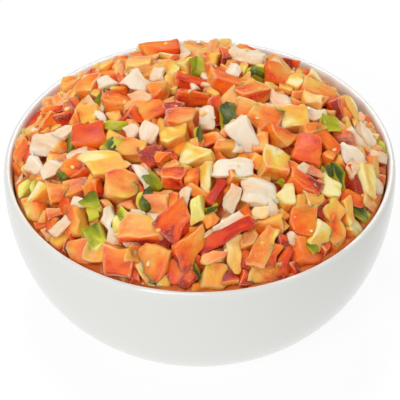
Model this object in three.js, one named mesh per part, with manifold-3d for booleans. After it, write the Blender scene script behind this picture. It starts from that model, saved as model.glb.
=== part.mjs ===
// A bowl of pico de gallo: diced tomato, white onion and green chilli heaped in a white glazed bowl.
// Millimetres, +Z up. The origin is on the bowl's axis, in the plane that its foot ring stands on.
import * as THREE from 'three';
import { mergeVertices } from 'three/addons/utils/BufferGeometryUtils.js';
import Module from 'manifold-3d';

// ---- Driving dimensions of the bowl ----
const RIM_RADIUS = 80;          // outside of the lip
const RIM_HEIGHT = 77;          // top of the lip above the table
const BODY_DEPTH = 75.2;        // rim plane down to the bottom of the outer curve, if it ran on to the axis
const SWELL = 2.79;             // exponent of the outer curve: 2 is an ellipse, more is fuller
const LIP_WALL = 3.8;           // thickness of the wall at the lip
const FLOOR_WALL = 5.2;         // thickness of the wall at the bottom
const FOOT_RADIUS = 36;         // outside of the foot ring
const FOOT_WIDTH = 4.5;         // breadth of the face that the foot ring stands on
const FOOT_ROUND = 0.8;         // small round on both edges of the foot ring
const FOOT_RECESS = 2.6;        // height of the underside inside the foot ring
const FOOT_COVE = 1.6;          // breadth of the slope between the underside and the foot ring
const LIP_ANGLE = 0.085;        // angle of the outer curve at which the round lip begins
const LIP_HALF_CROWN = 1.14;    // half the breadth of the lip's nearly flat top
const BOWL_SIDES = 60;          // flat sides round the bowl
const OUTER_STEPS = 10;         // flat steps down the outside
const INNER_STEPS = 12;         // flat steps down the inside
const LIP_STEPS = 3;            // flat steps on each half of the lip

// ---- Driving dimensions of the heap ----
const WALL_GAP = 0.35;          // the heap's clearance to the inside of the bowl
const CROWN_RISE = 24;          // top of the heap above the rim plane, over the general level of the dice
const EDGE_RISE = -1;           // the same level where the heap meets the wall
const SHOULDER = 3.4;           // exponent of the heap's profile: the larger, the steeper its shoulder
const SHELL_DEPTH = 7;          // general level of the dice down to the smooth core
const CORE_SIDES = 48;          // flat sides round the core
const CORE_STEPS = 12;          // flat steps of the core's underside, from the floor to the wall
const CORE_WALL_ANGLE = 0.2;    // angle of the outer curve at which those steps end
const CORE_WALL_DROP = 3;       // the steps end at least so far under the core's edge
const DOME_RINGS = [1, 0.93, 0.84, 0.72, 0.52, 0.27, 0]; // rings of the core's top, as shares of its radius
const EDGE_LEVEL_LEFT = 1;      // how much higher the heap lies at its left than at its right edge

// ---- Sizes of the cut pieces: length, width and thickness ----
const TOMATO = { length: [8, 11], width: [7.5, 10], thick: [7, 9.5] };
const ONION = { length: [9, 13.5], width: [8, 10.5], thick: [3.6, 4.8], bend: 1.6 };
const CHILLI = { length: [8.5, 12], width: [6.5, 9], thick: [3.4, 4.2], bend: 1.2 };
const CORNER_WANDER = 0.1;      // a cut corner lies off the true cuboid by up to this share of its size
const THICK_WANDER = 0.6;       // the same wander across the thickness, as a share of it
const TILT = 0.5;               // largest lean of a scattered piece, radians
const SPACING = 8.8;            // least distance between the middles of neighbouring pieces
const EMBED = 2;                // how deep the underside of a piece sinks into the core
const EDGE_MIDDLE = 5.6;        // middles of the outermost pieces in from the wall
const EDGE_PITCH = 9.2;         // spacing of the outermost pieces along the wall
const EDGE_LEAN = 0.25;         // largest lean of the outermost pieces, radians
const EDGE_SHIFT = 0.4;         // how far they stray along the wall, as a share of their spacing
const WALL_CLEAR = 0.7;         // clearance of a piece's corners to the inside of the bowl
const SCATTER_TRIES = 9000;     // random places tried for the scattered pieces
const SHARES = [['tomato', 0.72], ['onion', 0.2], ['chilli', 0.08]];
const SEED = 20417;

// ---- The pieces that stand out, largest first: kind, plan place, size, turn and lean in degrees ----
const STANDING_OUT = [
  { kind: 'tomato', at: [4, -62], size: [31, 6, 4.4], turn: 35, lean: 24 },
  { kind: 'onion', at: [22, -40], size: [15, 13, 4.8], turn: 20, lean: 8 },
  { kind: 'onion', at: [13, -28], size: [15, 11, 4.6], turn: -15, lean: 10 },
  { kind: 'onion', at: [-64, -1], size: [16, 11, 4.6], turn: -10, lean: 12 },
  { kind: 'onion', at: [24, 46], size: [16, 11, 4.6], turn: 5, lean: 20 },
  { kind: 'onion', at: [-25, 24], size: [14, 10, 4.8], turn: -35, lean: 12 },
  { kind: 'onion', at: [17, -12], size: [13, 9, 4.6], turn: -50, lean: 14 },
  { kind: 'onion', at: [64, -7], size: [15, 8, 4.6], turn: -40, lean: 14 },
  { kind: 'onion', at: [-53, -46], size: [14, 7, 4.2], turn: 45, lean: 16 },
  { kind: 'onion', at: [9, -54], size: [12, 5, 4.2], turn: 25, lean: 8 },
  { kind: 'onion', at: [-58, -19], size: [11, 10, 4.4], turn: 10, lean: 10 },
  { kind: 'tomato', at: [-11, -52], size: [12, 11, 9], turn: 40, lean: 20 },
  { kind: 'tomato', at: [29, -27], size: [12, 9, 9], turn: 65, lean: 12 },
  { kind: 'tomato', at: [-34, -28], size: [12, 10, 9], turn: 10, lean: 10 },
  { kind: 'tomato', at: [-42, -11], size: [11, 10, 9], turn: 15, lean: 14 },
  { kind: 'tomato', at: [9, -69], size: [10, 9, 10], turn: 5, lean: 6 },
  { kind: 'tomato', at: [-8, -68], size: [10, 9, 10], turn: -10, lean: 10 },
  { kind: 'tomato', at: [46, 12], size: [13, 9, 8], turn: 0, lean: 12 },
  { kind: 'chilli', at: [-2, 33], size: [10, 8, 7], turn: 80, lean: 18 },
  { kind: 'chilli', at: [42, -4], size: [9, 8, 6], turn: 0, lean: 6 },
  { kind: 'chilli', at: [52, -24], size: [13, 6, 4], turn: 80, lean: 14 },
  { kind: 'chilli', at: [-40, -43], size: [13, 7, 5], turn: 85, lean: 12 },
  { kind: 'chilli', at: [10, -2], size: [13, 5, 4], turn: 85, lean: 20 },
  { kind: 'chilli', at: [-34, -5], size: [14, 6, 4], turn: 0, lean: 10 },
  { kind: 'chilli', at: [60, -36], size: [10, 7, 4], turn: 10, lean: 10 },
  { kind: 'chilli', at: [-66, -20], size: [13, 8, 4], turn: 15, lean: 12 },
  { kind: 'chilli', at: [-27, -48], size: [11, 7, 4], turn: 35, lean: 12 },
];

const TURN_TO_UP = Math.PI / 2;
const DEGREE = Math.PI / 180;

/** A repeatable stream of numbers from 0 to 1. */
function seededRandom(seed) {
  let state = seed >>> 0;
  return () => {
    state = (state + 0x6d2b79f5) >>> 0;
    let mixed = Math.imul(state ^ (state >>> 15), 1 | state);
    mixed = (mixed + Math.imul(mixed ^ (mixed >>> 7), 61 | mixed)) ^ mixed;
    return ((mixed ^ (mixed >>> 14)) >>> 0) / 4294967296;
  };
}

const random = seededRandom(SEED);
const between = ([low, high]) => low + (high - low) * random();

// ---------------------------------------------------------------- the bowl

/**
 * A point of the wall's section, at an inset from the outer curve along its normal.
 * The angle runs from 0 at the rim to a right angle on the axis.
 */
function wallPoint(angle, inset) {
  const across = Math.cos(angle);
  const down = Math.sin(angle);
  const normalAcross = across ** (2 - 2 / SWELL) / RIM_RADIUS;
  const normalDown = down ** (2 - 2 / SWELL) / BODY_DEPTH;
  const size = Math.hypot(normalAcross, normalDown);
  const radius = RIM_RADIUS * across ** (2 / SWELL) - inset * normalAcross / size;
  const height = RIM_HEIGHT - BODY_DEPTH * down ** (2 / SWELL) + inset * normalDown / size;
  return new THREE.Vector2(Math.max(radius, 0), height);
}

/** The wall grows from the lip to the bottom. */
function wallThickness(angle) {
  return LIP_WALL + (FLOOR_WALL - LIP_WALL) * (angle / (Math.PI / 2)) ** 1.5;
}

/** Points of the wall's section between two angles, both included. */
function wallCurve(start, end, steps, insetAt) {
  return Array.from({ length: steps + 1 }, (_, i) => {
    const angle = start + (end - start) * i / steps;
    return wallPoint(angle, insetAt(angle));
  });
}

/** The angle at which the outer curve has a given radius. */
function outerAngleAt(radius) {
  return Math.acos((radius / RIM_RADIUS) ** (SWELL / 2));
}

/** Half of the round lip, from where a side of the wall ends up to the top of the lip. */
function halfLip(wallEnd, middle) {
  const top = new THREE.Vector2(middle, RIM_HEIGHT);
  const overEnd = new THREE.Vector2(wallEnd.x, RIM_HEIGHT);
  const besideTop = new THREE.Vector2(middle + Math.sign(wallEnd.x - middle) * LIP_HALF_CROWN, RIM_HEIGHT);
  return new THREE.CubicBezierCurve(wallEnd, overEnd, besideTop, top).getPoints(LIP_STEPS);
}

/** The bowl's section: underside, foot ring, outside, lip, inside and floor. */
function bowlProfile() {
  const footInner = FOOT_RADIUS - FOOT_WIDTH - 2 * FOOT_ROUND;
  const footTop = outerAngleAt(FOOT_RADIUS);
  const outer = wallCurve(footTop, LIP_ANGLE, OUTER_STEPS, () => 0);
  const inner = wallCurve(LIP_ANGLE, Math.PI / 2, INNER_STEPS, wallThickness);
  const outerEnd = outer[outer.length - 1];
  const lipMiddle = (outerEnd.x + inner[0].x) / 2;
  const lipOutside = halfLip(outerEnd, lipMiddle).slice(1);
  const lipInside = halfLip(inner[0], lipMiddle).reverse().slice(1, -1);
  return [
    new THREE.Vector2(0, FOOT_RECESS),
    new THREE.Vector2(footInner - FOOT_COVE, FOOT_RECESS),
    new THREE.Vector2(footInner, FOOT_ROUND),
    new THREE.Vector2(footInner + FOOT_ROUND, 0),
    new THREE.Vector2(FOOT_RADIUS - FOOT_ROUND, 0),
    new THREE.Vector2(FOOT_RADIUS, FOOT_ROUND),
    ...outer,
    ...lipOutside,
    ...lipInside,
    ...inner,
  ];
}

/** Turns a profile round the upright axis. */
function turned(profile, sides) {
  return new THREE.LatheGeometry(profile, sides).rotateX(TURN_TO_UP);
}

// ---------------------------------------------------------------- the heap's form

/** The general level of the dice's tops over a place in plan. */
function diceLevel(x, y) {
  const reach = Math.min(Math.hypot(x, y) / (RIM_RADIUS - LIP_WALL), 1);
  const fall = (CROWN_RISE - EDGE_RISE) * reach ** SHOULDER;
  const lean = -EDGE_LEVEL_LEFT * x / RIM_RADIUS;
  return RIM_HEIGHT + CROWN_RISE - fall + lean;
}

/** The level of the smooth core over a place in plan. */
const coreLevel = (x, y) => diceLevel(x, y) - SHELL_DEPTH;

/** The inner radius of the bowl at a height. Above the rim it is that of the rim. */
function innerRadiusAt(height) {
  let low = 0;
  let high = Math.PI / 2;
  for (let i = 0; i < 40; i += 1) {
    const middle = (low + high) / 2;
    if (wallPoint(middle, wallThickness(middle)).y > height) low = middle;
    else high = middle;
  }
  return wallPoint(low, wallThickness(low)).x;
}

/** The core fills the bowl from its floor and ends in a low dome under the dice. */
function coreGeometry() {
  const edgeRadius = innerRadiusAt(coreLevel(RIM_RADIUS, 0)) - WALL_GAP;
  const lower = [];
  for (let i = 0; i <= CORE_STEPS; i += 1) {
    const angle = Math.PI / 2 - (Math.PI / 2 - CORE_WALL_ANGLE) * i / CORE_STEPS;
    const point = wallPoint(angle, wallThickness(angle) + WALL_GAP);
    if (point.y < coreLevel(point.x, 0) - CORE_WALL_DROP) lower.push(point);
  }
  lower[0].x = 0;
  const upper = DOME_RINGS.map((share) => {
    const radius = edgeRadius * share;
    return new THREE.Vector2(radius, coreLevel(radius, 0));
  });
  const geometry = turned([...lower, ...upper], CORE_SIDES);
  const position = geometry.attributes.position;
  const lowestTop = coreLevel(RIM_RADIUS, 0) - 1;
  for (let i = 0; i < position.count; i += 1) {
    const x = position.getX(i);
    const y = position.getY(i);
    if (position.getZ(i) > lowestTop) position.setZ(i, coreLevel(x, y));
  }
  return geometry;
}

// ---------------------------------------------------------------- the cut pieces

/** A cuboid with wandering corners. A bend gives it the curve of an onion layer or a chilli wall. */
function cutPiece(length, width, thick, bend) {
  const strips = bend > 0 ? 2 : 1;
  const geometry = new THREE.BoxGeometry(length, width, thick, strips, 1, 1);
  const merged = withSharedVertices(geometry);
  const position = merged.attributes.position;
  const least = Math.min(length, width, thick);
  for (let i = 0; i < position.count; i += 1) {
    const wander = () => (2 * random() - 1) * CORNER_WANDER * least;
    const along = position.getX(i) / (length / 2);
    position.setXYZ(
      i,
      position.getX(i) + wander(),
      position.getY(i) + wander(),
      position.getZ(i) + wander() * THICK_WANDER - bend * along * along);
  }
  return merged;
}

/** Drops all attributes but the position, so that vertices in one place become one. */
function withSharedVertices(geometry) {
  geometry.deleteAttribute('normal');
  geometry.deleteAttribute('uv');
  return mergeVertices(geometry, 1e-4);
}

/** The heap's slope under a place, as the direction that points straight out of it. */
function outwardAt(x, y) {
  const step = 1;
  const slopeX = (coreLevel(x + step, y) - coreLevel(x - step, y)) / (2 * step);
  const slopeY = (coreLevel(x, y + step) - coreLevel(x, y - step)) / (2 * step);
  return new THREE.Vector3(-slopeX, -slopeY, 1).normalize();
}

/** Lays a piece on the core: it follows the slope, turned and leaning, and stays clear of the wall. */
function laid(geometry, thick, x, y, turn, lean, leanTowards) {
  const outward = outwardAt(x, y);
  const onSlope = new THREE.Quaternion().setFromUnitVectors(new THREE.Vector3(0, 0, 1), outward);
  const turnedRound = new THREE.Quaternion().setFromAxisAngle(new THREE.Vector3(0, 0, 1), turn);
  const leanAxis = new THREE.Vector3(Math.cos(leanTowards), Math.sin(leanTowards), 0);
  const leaning = new THREE.Quaternion().setFromAxisAngle(leanAxis, lean);
  geometry.applyQuaternion(onSlope.multiply(leaning).multiply(turnedRound));
  const rise = thick / 2 - EMBED;
  geometry.translate(x + rise * outward.x, y + rise * outward.y, coreLevel(x, y) + rise * outward.z);
  return movedOffWall(geometry);
}

/** Moves a piece towards the middle until none of its corners is nearer the wall than it may be. */
function movedOffWall(geometry) {
  const position = geometry.attributes.position;
  for (let pass = 0; pass < 3; pass += 1) {
    let worst = 0;
    let pushX = 0;
    let pushY = 0;
    for (let i = 0; i < position.count; i += 1) {
      const x = position.getX(i);
      const y = position.getY(i);
      const reach = Math.hypot(x, y);
      const over = reach + WALL_CLEAR - Math.min(innerRadiusAt(position.getZ(i)), RIM_RADIUS - LIP_WALL);
      if (over > worst) {
        worst = over;
        pushX = -x / reach;
        pushY = -y / reach;
      }
    }
    if (worst === 0) break;
    geometry.translate(pushX * worst, pushY * worst, 0);
  }
  return geometry;
}

const KINDS = { tomato: TOMATO, onion: ONION, chilli: CHILLI };

/** A size drawn from a kind's ranges. */
function drawnSize(kind) {
  const { length, width, thick } = KINDS[kind];
  return [between(length), between(width), between(thick)];
}

/** One piece of a kind, laid at a place in plan. Its angles are in radians. */
function piece(kind, [length, width, thick], [x, y], turn, lean, leanTowards) {
  const cut = cutPiece(length, width, thick, KINDS[kind].bend ?? 0);
  return {
    at: [x, y],
    reach: Math.max(SPACING / 2, (length + width) / 4),
    solid: laid(cut, thick, x, y, turn, lean, leanTowards),
  };
}

/** The pieces that stand out. Each leans about its own length. */
function standingOut() {
  return STANDING_OUT.map(({ kind, at, size, turn, lean }) => (
    piece(kind, size, at, turn * DEGREE, lean * DEGREE, turn * DEGREE)));
}

/** The outermost pieces, side by side along the wall between those that are already there. */
function alongWall(placed) {
  const reach = RIM_RADIUS - LIP_WALL - EDGE_MIDDLE;
  const count = Math.floor(2 * Math.PI * reach / EDGE_PITCH);
  for (let i = 0; i < count; i += 1) {
    const bearing = 2 * Math.PI * (i + EDGE_SHIFT * random()) / count;
    const at = [reach * Math.cos(bearing), reach * Math.sin(bearing)];
    const kind = drawnKind();
    const size = drawnSize(kind);
    if (isFree(at, placed)) placed.push(piece(kind, size, at, bearing, -EDGE_LEAN * random(), bearing));
  }
  return placed;
}

/** Picks a kind by its share of the heap. */
function drawnKind() {
  let rest = random();
  for (const [kind, share] of SHARES) {
    if (rest < share) return kind;
    rest -= share;
  }
  return SHARES[0][0];
}

/** True where a scattered piece finds room between the pieces that are already there. */
function isFree([x, y], placed) {
  return placed.every(({ at, reach }) => (
    Math.hypot(at[0] - x, at[1] - y, coreLevel(...at) - coreLevel(x, y)) > SPACING / 2 + reach));
}

/** Scatters pieces evenly at random over the heap, between those that are already there. */
function scattered(placed) {
  const reachLimit = RIM_RADIUS - LIP_WALL - EDGE_MIDDLE;
  for (let i = 0; i < SCATTER_TRIES; i += 1) {
    const reach = reachLimit * Math.sqrt(random());
    const bearing = 2 * Math.PI * random();
    const x = reach * Math.cos(bearing);
    const y = reach * Math.sin(bearing);
    if (isFree([x, y], placed)) {
      const kind = drawnKind();
      const turn = 2 * Math.PI * random();
      const lean = TILT * random();
      const leanTowards = 2 * Math.PI * random();
      placed.push(piece(kind, drawnSize(kind), [x, y], turn, lean, leanTowards));
    }
  }
  return placed;
}

// ---------------------------------------------------------------- joining

const wasm = await Module();
wasm.setup();

/** A closed geometry as a solid that can be joined. */
function solidOf(geometry) {
  return new wasm.Manifold(new wasm.Mesh({
    numProp: 3,
    vertProperties: new Float32Array(geometry.attributes.position.array),
    triVerts: new Uint32Array(geometry.index.array),
  }));
}

/** A joined solid as a geometry. */
function geometryOf(solid) {
  const { vertProperties, triVerts } = solid.getMesh();
  const geometry = new THREE.BufferGeometry();
  geometry.setAttribute('position', new THREE.BufferAttribute(new Float32Array(vertProperties), 3));
  geometry.setIndex(new THREE.BufferAttribute(new Uint32Array(triVerts), 1));
  geometry.computeVertexNormals();
  return geometry;
}

/** The outer shell of a joined solid: hollows that joining sealed are filled, loose scraps dropped. */
function outerShell(solid) {
  return solid.decompose().reduce((best, part) => (part.volume() > best.volume() ? part : best));
}

const SHORTEST_EDGE = 0.02;     // finer slivers left by joining are smoothed away

/** The core with all the pieces that show joined to it. */
function heapGeometry() {
  const pieces = scattered(alongWall(standingOut()));
  let heap = solidOf(withSharedVertices(coreGeometry()));
  for (const { solid } of pieces) heap = heap.add(solidOf(solid));
  return geometryOf(outerShell(outerShell(heap).simplify(SHORTEST_EDGE)));
}

// ---------------------------------------------------------------- the object

const porcelain = new THREE.MeshStandardMaterial({ color: 0xeef0eb, roughness: 0.16, metalness: 0 });
const freshSalsa = new THREE.MeshStandardMaterial({ color: 0xdf8a4c, roughness: 0.3, metalness: 0 });

const bowl = new THREE.Mesh(turned(bowlProfile(), BOWL_SIDES), porcelain);
bowl.name = 'bowl';

const heap = new THREE.Mesh(heapGeometry(), freshSalsa);
heap.name = 'pico_de_gallo_heap';

const bowlOfPicoDeGallo = new THREE.Group();
bowlOfPicoDeGallo.add(bowl, heap);

export default bowlOfPicoDeGallo;
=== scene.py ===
"""A bowl of pico de gallo: cut tomato, white onion and green chilli heaped in a white glazed bowl.

The loose pieces stand for one solid of the frame, the heap. The ones that stand out lie where the
photograph shows them, the others fill the room between and below them, and all settle on one another.
"""
import logging
import math
import random
from dataclasses import dataclass, field
from enum import Enum

import bmesh
import bpy
import numpy as np
from mathutils import Matrix, Quaternion, Vector, noise
from mathutils.bvhtree import BVHTree


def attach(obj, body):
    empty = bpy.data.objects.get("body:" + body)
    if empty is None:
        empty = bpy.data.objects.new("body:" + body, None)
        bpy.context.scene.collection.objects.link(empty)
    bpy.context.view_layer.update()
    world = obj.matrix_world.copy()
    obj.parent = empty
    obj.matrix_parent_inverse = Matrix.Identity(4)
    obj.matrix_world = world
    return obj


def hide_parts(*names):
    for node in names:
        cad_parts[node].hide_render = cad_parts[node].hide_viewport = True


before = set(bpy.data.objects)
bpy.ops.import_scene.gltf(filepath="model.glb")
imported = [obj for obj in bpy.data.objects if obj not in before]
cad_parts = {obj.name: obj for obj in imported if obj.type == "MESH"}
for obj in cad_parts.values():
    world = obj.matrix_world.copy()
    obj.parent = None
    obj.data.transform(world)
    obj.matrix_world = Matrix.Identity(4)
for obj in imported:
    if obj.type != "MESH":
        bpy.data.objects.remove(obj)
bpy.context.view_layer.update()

MM = 0.001
UP = Vector((0.0, 0.0, 1.0))
MERGED = 0.001 * MM   # points nearer than this are one
BOWL_NODE = "bowl"
HEAP_NODE = "pico_de_gallo_heap"
LOG = logging.getLogger("pico_de_gallo")


# ---------------------------------------------------------------- the photograph's view


@dataclass(frozen=True)
class PhotoView:
    """The photograph's viewpoint, worked out from the outline of the bowl's lip."""

    frame_px: float = 400.0
    lip_half_px: float = 190.8
    lip_radius: float = 80 * MM
    distance: float = 560 * MM
    elevation: float = math.radians(42.5)
    roll: float = math.radians(-0.43)
    aim_height: float = (77 - 25.4) * MM
    sensor_mm: float = 36.0

    def focal_px(self) -> float:
        """The focal length in pixels of the frame."""
        return self.lip_half_px * self.distance / self.lip_radius

    def towards_camera(self) -> Vector:
        """The direction from the object to the camera."""
        return Vector((0.0, -math.cos(self.elevation), math.sin(self.elevation)))

    def camera_place(self) -> Vector:
        """The camera's place in metres."""
        return Vector((0.0, 0.0, self.aim_height)) + self.distance * self.towards_camera()

    def axes(self) -> tuple[Vector, Vector]:
        """The picture's directions to the right and up, in the row frame."""
        right = Quaternion(self.towards_camera(), self.roll) @ Vector((1.0, 0.0, 0.0))
        return right, self.towards_camera().cross(right)

    def sight_line(self, px: float, py: float) -> Vector:
        """The direction in which the camera sees a pixel.

        Args:
            px: Pixels from the left edge of the frame.
            py: Pixels from its top edge.

        Returns:
            A unit vector that points away from the camera.
        """
        right, up = self.axes()
        across = (px - self.frame_px / 2) / self.focal_px()
        down = (py - self.frame_px / 2) / self.focal_px()
        return (right * across - up * down - self.towards_camera()).normalized()

    def make_camera(self) -> None:
        """Adds the camera and makes it the scene's."""
        data = bpy.data.cameras.new("photo_view")
        data.sensor_width = self.sensor_mm
        data.lens = self.sensor_mm * self.focal_px() / self.frame_px
        camera = bpy.data.objects.new("photo_view", data)
        camera.location = self.camera_place()
        camera.rotation_mode = "QUATERNION"
        level = (-self.towards_camera()).to_track_quat("-Z", "Y")
        camera.rotation_quaternion = Quaternion(self.towards_camera(), self.roll) @ level
        bpy.context.scene.collection.objects.link(camera)
        bpy.context.scene.camera = camera


# ---------------------------------------------------------------- colours and shader nodes


def linear(hex_colour: str) -> tuple[float, float, float, float]:
    """Turns an sRGB hex colour such as "e0703a" into linear RGBA."""
    channels = (int(hex_colour[i:i + 2], 16) / 255 for i in (0, 2, 4))
    return (*(c / 12.92 if c <= 0.04045 else ((c + 0.055) / 1.055) ** 2.4 for c in channels), 1.0)


def add_node(
    material: bpy.types.Material, kind: str, settings: dict | None = None, links: dict | None = None
) -> bpy.types.Node:
    """Adds one shader node.

    Args:
        material: The material whose tree takes the node.
        kind: The node's type, such as "ShaderNodeBump".
        settings: Values by the name or number of an input socket or, in lower case, by the name of a
            property of the node.
        links: Output sockets by the name or number of the input socket that they feed.

    Returns:
        The new node.
    """
    tree = material.node_tree
    added = tree.nodes.new(kind)
    for name, value in (settings or {}).items():
        if name[0].islower():
            setattr(added, name, value)
        else:
            added.inputs[int(name) if name.isdigit() else name].default_value = value
    for name, output in (links or {}).items():
        tree.links.new(output, added.inputs[int(name) if name.isdigit() else name])
    return added


def set_ramp(ramp_node: bpy.types.Node, stops: list[tuple[float, str]]) -> None:
    """Gives a colour ramp its stops.

    Args:
        ramp_node: The colour ramp.
        stops: A position and an sRGB hex colour for each.
    """
    elements = ramp_node.color_ramp.elements
    while len(elements) < len(stops):
        elements.new(0.5)
    for element, (position, colour) in zip(elements, stops):
        element.position = position
        element.color = linear(colour)


def new_material(name: str) -> tuple[bpy.types.Material, bpy.types.Node]:
    """Makes a node material.

    Args:
        name: The material's name.

    Returns:
        The material and its Principled shader.
    """
    material = bpy.data.materials.new(name)
    material.use_nodes = True
    return material, material.node_tree.nodes["Principled BSDF"]


# ---------------------------------------------------------------- the finishes

INSIDE = "inside"     # 1 on the inner side of the bowl and 0 on the outer
LOOK = "piece_look"   # a piece's tone, skin, grain and painted sheen and rim, as the four channels of a colour
PLACE = "own_place"   # a point's place on its own piece, in metres, so that a pattern follows the piece
FIRST, SECOND, MIXED = "6", "7", 2   # a Mix node's input sockets for two colours, and its output socket
NOISE_LOW, NOISE_HIGH = 0.25, 0.75   # the values of a noise texture lie mostly between these


@dataclass(frozen=True)
class GlazedPorcelain:
    """White porcelain under a clear smooth glaze: an even near-white with soft, sharp-edged reflections."""

    white: str = "e2e3de"
    painted_light_inner_white: str = "f8fcfc"   # painted light: whiter and cooler inside, against the heap's shade and the warm light it throws there
    stained: str = "f0c9a4"       # the white under a film of tomato juice
    stain_low: float = 64 * MM
    stain_high: float = 74 * MM
    stain_left: float = -66 * MM
    stain_right: float = -40 * MM
    waviness: float = 26 * MM     # a glaze flows a little before it sets
    wave_height: float = 1 * MM
    wave_strength: float = 0.12
    roughness: float = 0.16
    ior: float = 1.5

    def material(self) -> bpy.types.Material:
        """Builds the material, with a thin film of juice on the inside next to the heap.

        Returns:
            The material.
        """
        material, shader = new_material("glazed_porcelain")
        links = material.node_tree.links
        place = add_node(material, "ShaderNodeTexCoord")
        split = add_node(material, "ShaderNodeSeparateXYZ", links={"Vector": place.outputs["Object"]})
        inside = add_node(material, "ShaderNodeAttribute", {"attribute_name": INSIDE})
        height = add_node(
            material, "ShaderNodeMapRange",
            {"From Min": self.stain_high, "From Max": self.stain_low, "interpolation_type": "SMOOTHSTEP"},
            {"Value": split.outputs["Z"]})
        side = add_node(
            material, "ShaderNodeMapRange",
            {"From Min": self.stain_right, "From Max": self.stain_left, "interpolation_type": "SMOOTHSTEP"},
            {"Value": split.outputs["X"]})
        beside = add_node(
            material, "ShaderNodeMath", {"operation": "MULTIPLY"},
            {"0": height.outputs["Result"], "1": side.outputs["Result"]})
        stain = add_node(
            material, "ShaderNodeMath", {"operation": "MULTIPLY"},
            {"0": beside.outputs["Value"], "1": inside.outputs["Fac"]})
        # the inside takes the white that is painted lighter against the heap's shade
        glaze = add_node(
            material, "ShaderNodeMix",
            {"data_type": "RGBA", FIRST: linear(self.white), SECOND: linear(self.painted_light_inner_white)},
            {"Factor": inside.outputs["Fac"]})
        colour = add_node(
            material, "ShaderNodeMix", {"data_type": "RGBA", SECOND: linear(self.stained)},
            {"Factor": stain.outputs["Value"], FIRST: glaze.outputs[MIXED]})
        wave = add_node(
            material, "ShaderNodeTexNoise", {"Scale": 1 / self.waviness, "Detail": 1.0},
            {"Vector": place.outputs["Object"]})
        bump = add_node(
            material, "ShaderNodeBump", {"Strength": self.wave_strength, "Distance": self.wave_height},
            {"Height": wave.outputs["Fac"]})
        links.new(colour.outputs[MIXED], shader.inputs["Base Color"])
        links.new(bump.outputs["Normal"], shader.inputs["Normal"])
        shader.inputs["Roughness"].default_value = self.roughness
        shader.inputs["IOR"].default_value = self.ior
        return material


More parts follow.
